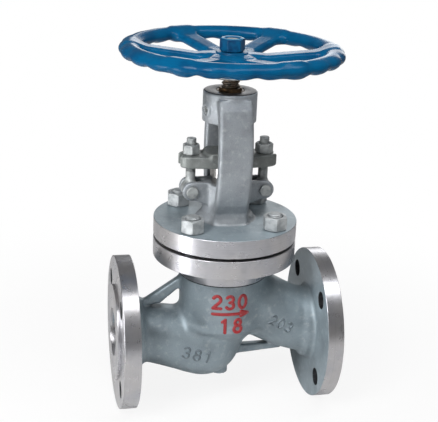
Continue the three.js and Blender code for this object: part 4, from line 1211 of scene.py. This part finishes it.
# --- Handwheel ---------------------------------------------------------------
# A cast iron wheel with six sloping spokes and finger grips under the rim, dipped in
# blue gloss enamel. Only the foot of its hub, where it was turned, is bare.
wheel_low, wheel_high = corners_of("handwheel")
WHEEL_RADIUS = wheel_high[1]
RIM_HALF_WIDTH, RIM_HALF_HEIGHT = 9.9, 7.3
RIM_CIRCLE, RIM_Z = WHEEL_RADIUS - 10.05, wheel_low[2] + 26.0
GRIPS, GRIP_DEPTH = 24, 1.9
SPOKES, FIRST_SPOKE = 6, math.radians(-10)
SPOKE_START, SPOKE_HALF, SPOKE_ROUND = 18, 9.2, 3.4
HUB_LOW, HUB_TOP = wheel_low[2], wheel_low[2] + 22.4
HUB = [
    (-5, HUB_LOW), (20.6, HUB_LOW), (21.4, HUB_LOW + 2), (24, HUB_LOW + 9), (27.6, HUB_TOP - 9),
    (27.6, HUB_TOP - 2), (21, HUB_TOP), (-5, HUB_TOP),
]
WHEEL_BLUE = (0.001, 0.075, 0.175, 1.0)
WHEEL_DEEP = (0.001, 0.030, 0.090, 1.0)
WHEEL_PALE = (0.020, 0.215, 0.380, 1.0)
HUB_BARE = (0.55, 0.55, 0.54, 1.0)


def wheel_field(x, y, z):
    """Distance from the handwheel: scalloped rim, hub and sloping spokes, all filleted."""
    out, turn = np.hypot(x, y), np.arctan2(y, x)
    outward, up = out - RIM_CIRCLE, z - RIM_Z
    under = np.clip(0.5 + (0.75 * outward - up) / 12, 0, 1)
    dent = GRIP_DEPTH * under * (0.5 + 0.5 * np.cos(GRIPS * turn)) ** 1.5
    size = np.hypot(outward / (RIM_HALF_WIDTH - 0.6 * dent), up / (RIM_HALF_HEIGHT - dent))
    rim = (size - 1) * RIM_HALF_HEIGHT
    pitch = 2 * np.pi / SPOKES
    local = (turn - FIRST_SPOKE + pitch / 2) % pitch - pitch / 2
    ahead, aside = out * np.cos(local), out * np.sin(local)
    share = np.clip((ahead - SPOKE_START) / (RIM_CIRCLE - SPOKE_START), 0, 1)
    middle = HUB_TOP - 5.5 + (RIM_Z - HUB_TOP + 5.5) * share
    flat_half = SPOKE_HALF - SPOKE_ROUND + 1.2 * share + 2.5 * np.clip(share - 0.75, 0, 1)
    past_flat, past_face = np.abs(aside) - flat_half, np.abs(z - middle) - 1.0
    spoke = np.hypot(np.maximum(past_flat, 0), np.maximum(past_face, 0)) - SPOKE_ROUND
    spoke = np.maximum(spoke, np.maximum(SPOKE_START - 2 - ahead, ahead - RIM_CIRCLE))
    wheel = blended(blended(flat_shape(out, z, HUB), spoke, 9), rim, 9)
    return cut_from(wheel, np.maximum(np.abs(x), np.abs(y)) - WHEEL_THREAD_RADIUS - 0.3, 0.6)


def enamel_paint(place):
    """Thick gloss enamel: darker in hollows as painted shade, paler on edges, bare under the hub."""
    out, height = on_lathe(place)
    cloud = noise(place, 22.0, 3.0)
    dust = noise(place, 0.9, 2.0, 0.7)
    hollow, edge = drawn_field(place, "hollow"), drawn_field(place, "edge")
    # Painted shade: the enamel goes towards the deep blue in hollows; the cloud share is random tone.
    colour = tint(WHEEL_BLUE, WHEEL_DEEP, 0.55 * cloud.rise(0.42, 0.7) + 0.5 * hollow.rise(0.1, 0.8))
    colour = tint(colour, WHEEL_PALE, 0.30 * edge.rise(0.25, 0.8) + 0.12 * dust.rise(0.6, 0.8))
    bare = (1 - height.rise((HUB_LOW + 1.5) * MM, (HUB_LOW + 2.5) * MM)) * (1 - out.rise(0.024, 0.025))
    normal = grain(cloud + 0.5 * noise(place, 2.6), 0.25, 0.8)
    return tint(colour, HUB_BARE, bare), 0.13 + 0.10 * cloud + 0.06 * dust, normal, bare * 0.8


enamel = coat("blue_enamel", {"Specular IOR Level": 0.10}, enamel_paint)
wheel_reach = WHEEL_RADIUS + 1.2
casting(
    "wheel_casting", wheel_field, (-wheel_reach, -wheel_reach, HUB_LOW - 1.6),
    (wheel_reach, wheel_reach, RIM_Z + RIM_HALF_HEIGHT + 1.6), 1.4, 4.0,
    [enamel], "handwheel", "stem_and_wheel",
)

# --- Wheel nut and washer ----------------------------------------------------
# The wheel is held on the stem's square by a washer and a hexagon nut, painted over.
(*_, nut_foot), (*_, nut_top) = corners_of("handwheel_nut")
(*_, washer_foot), (*_, washer_top) = corners_of("handwheel_washer")
WASHER_BORE, WASHER_RADIUS = 7.5, 16.0


def nut_enamel_paint(place):
    """The wheel's enamel on the nut, paler in patches on its top face."""
    cloud = noise(place, 9.0, 3.0)
    top = height_of(place).rise((nut_top - 0.7) * MM, (nut_top - 0.2) * MM)
    paler_top_patches = 0.7 * (top * cloud.rise(0.35, 0.6))
    colour = tint(tint(WHEEL_BLUE, WHEEL_DEEP, cloud.rise(0.4, 0.7)), WHEEL_PALE, paler_top_patches)
    return colour, 0.24 + 0.2 * cloud, grain(cloud, 0.3, 0.5)


nut_enamel = coat("nut_enamel", {"Specular IOR Level": 0.35}, nut_enamel_paint)
wheel_nut = hex_nut(NUT_FLATS, WHEEL_THREAD_RADIUS + NUT_RUN, nut_foot, nut_top, (0, 0), 26.5)
bevel(piece("wheel_nut", wheel_nut, [nut_enamel], ["handwheel_nut"], "stem_and_wheel"), 0.5)
washer = turned_ring([
    (WASHER_BORE, washer_foot), (WASHER_RADIUS, washer_foot), (WASHER_RADIUS, washer_top),
    (WASHER_BORE, washer_top),
], sides=64)
piece("wheel_washer", washer, [nut_enamel], ["handwheel_washer"], "stem_and_wheel")

# --- Trim and packing --------------------------------------------------------
# The pieces inside keep their CAD shape: stainless seat, disc, nut, bush, follower and
# washer, and the braided graphite packing with its gasket.
TRIM_STEEL = (0.52, 0.51, 0.49, 1.0)
TRIM_DULL = (0.30, 0.29, 0.275, 1.0)
GRAPHITE = (0.030, 0.031, 0.033, 1.0)
GRAPHITE_SHEEN = (0.10, 0.102, 0.105, 1.0)


def trim_paint(place):
    """Turned stainless steel with fine lines round the stem's axis and a water stain."""
    stain = noise(place, 12.0, 4.0, 0.6)
    lines = tool_lines(*on_lathe(place), 0.5, 2.0, 0.7)
    return tint(TRIM_STEEL, TRIM_DULL, stain.rise(0.42, 0.7)), 0.24 + 0.15 * stain, grain(lines, 0.25, 0.06)


def graphite_paint(place):
    """Braided graphite: small crossing strands that catch a dull sheen."""
    weave = noise(place, 1.0, 3.0, 0.7)
    return tint(GRAPHITE, GRAPHITE_SHEEN, weave.rise(0.5, 0.75)), 0.5 + 0.3 * weave, grain(weave, 0.5, 0.3)


trim_coat = coat("trim_coat", {"Metallic": 0.9}, trim_paint)
graphite_coat = coat("graphite_coat", {"Metallic": 0.1}, graphite_paint)
packing = [f"packing_ring_{index}" for index in range(1, 6)] + ["bonnet_gasket"]
trim = ["seat_ring", "disc", "disc_nut", "backseat_bush", "packing_washer", "gland_follower"]
for node in packing + trim:
    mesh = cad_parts[node].data
    mesh.materials.clear()
    mesh.materials.append(graphite_coat if node in packing else trim_coat)
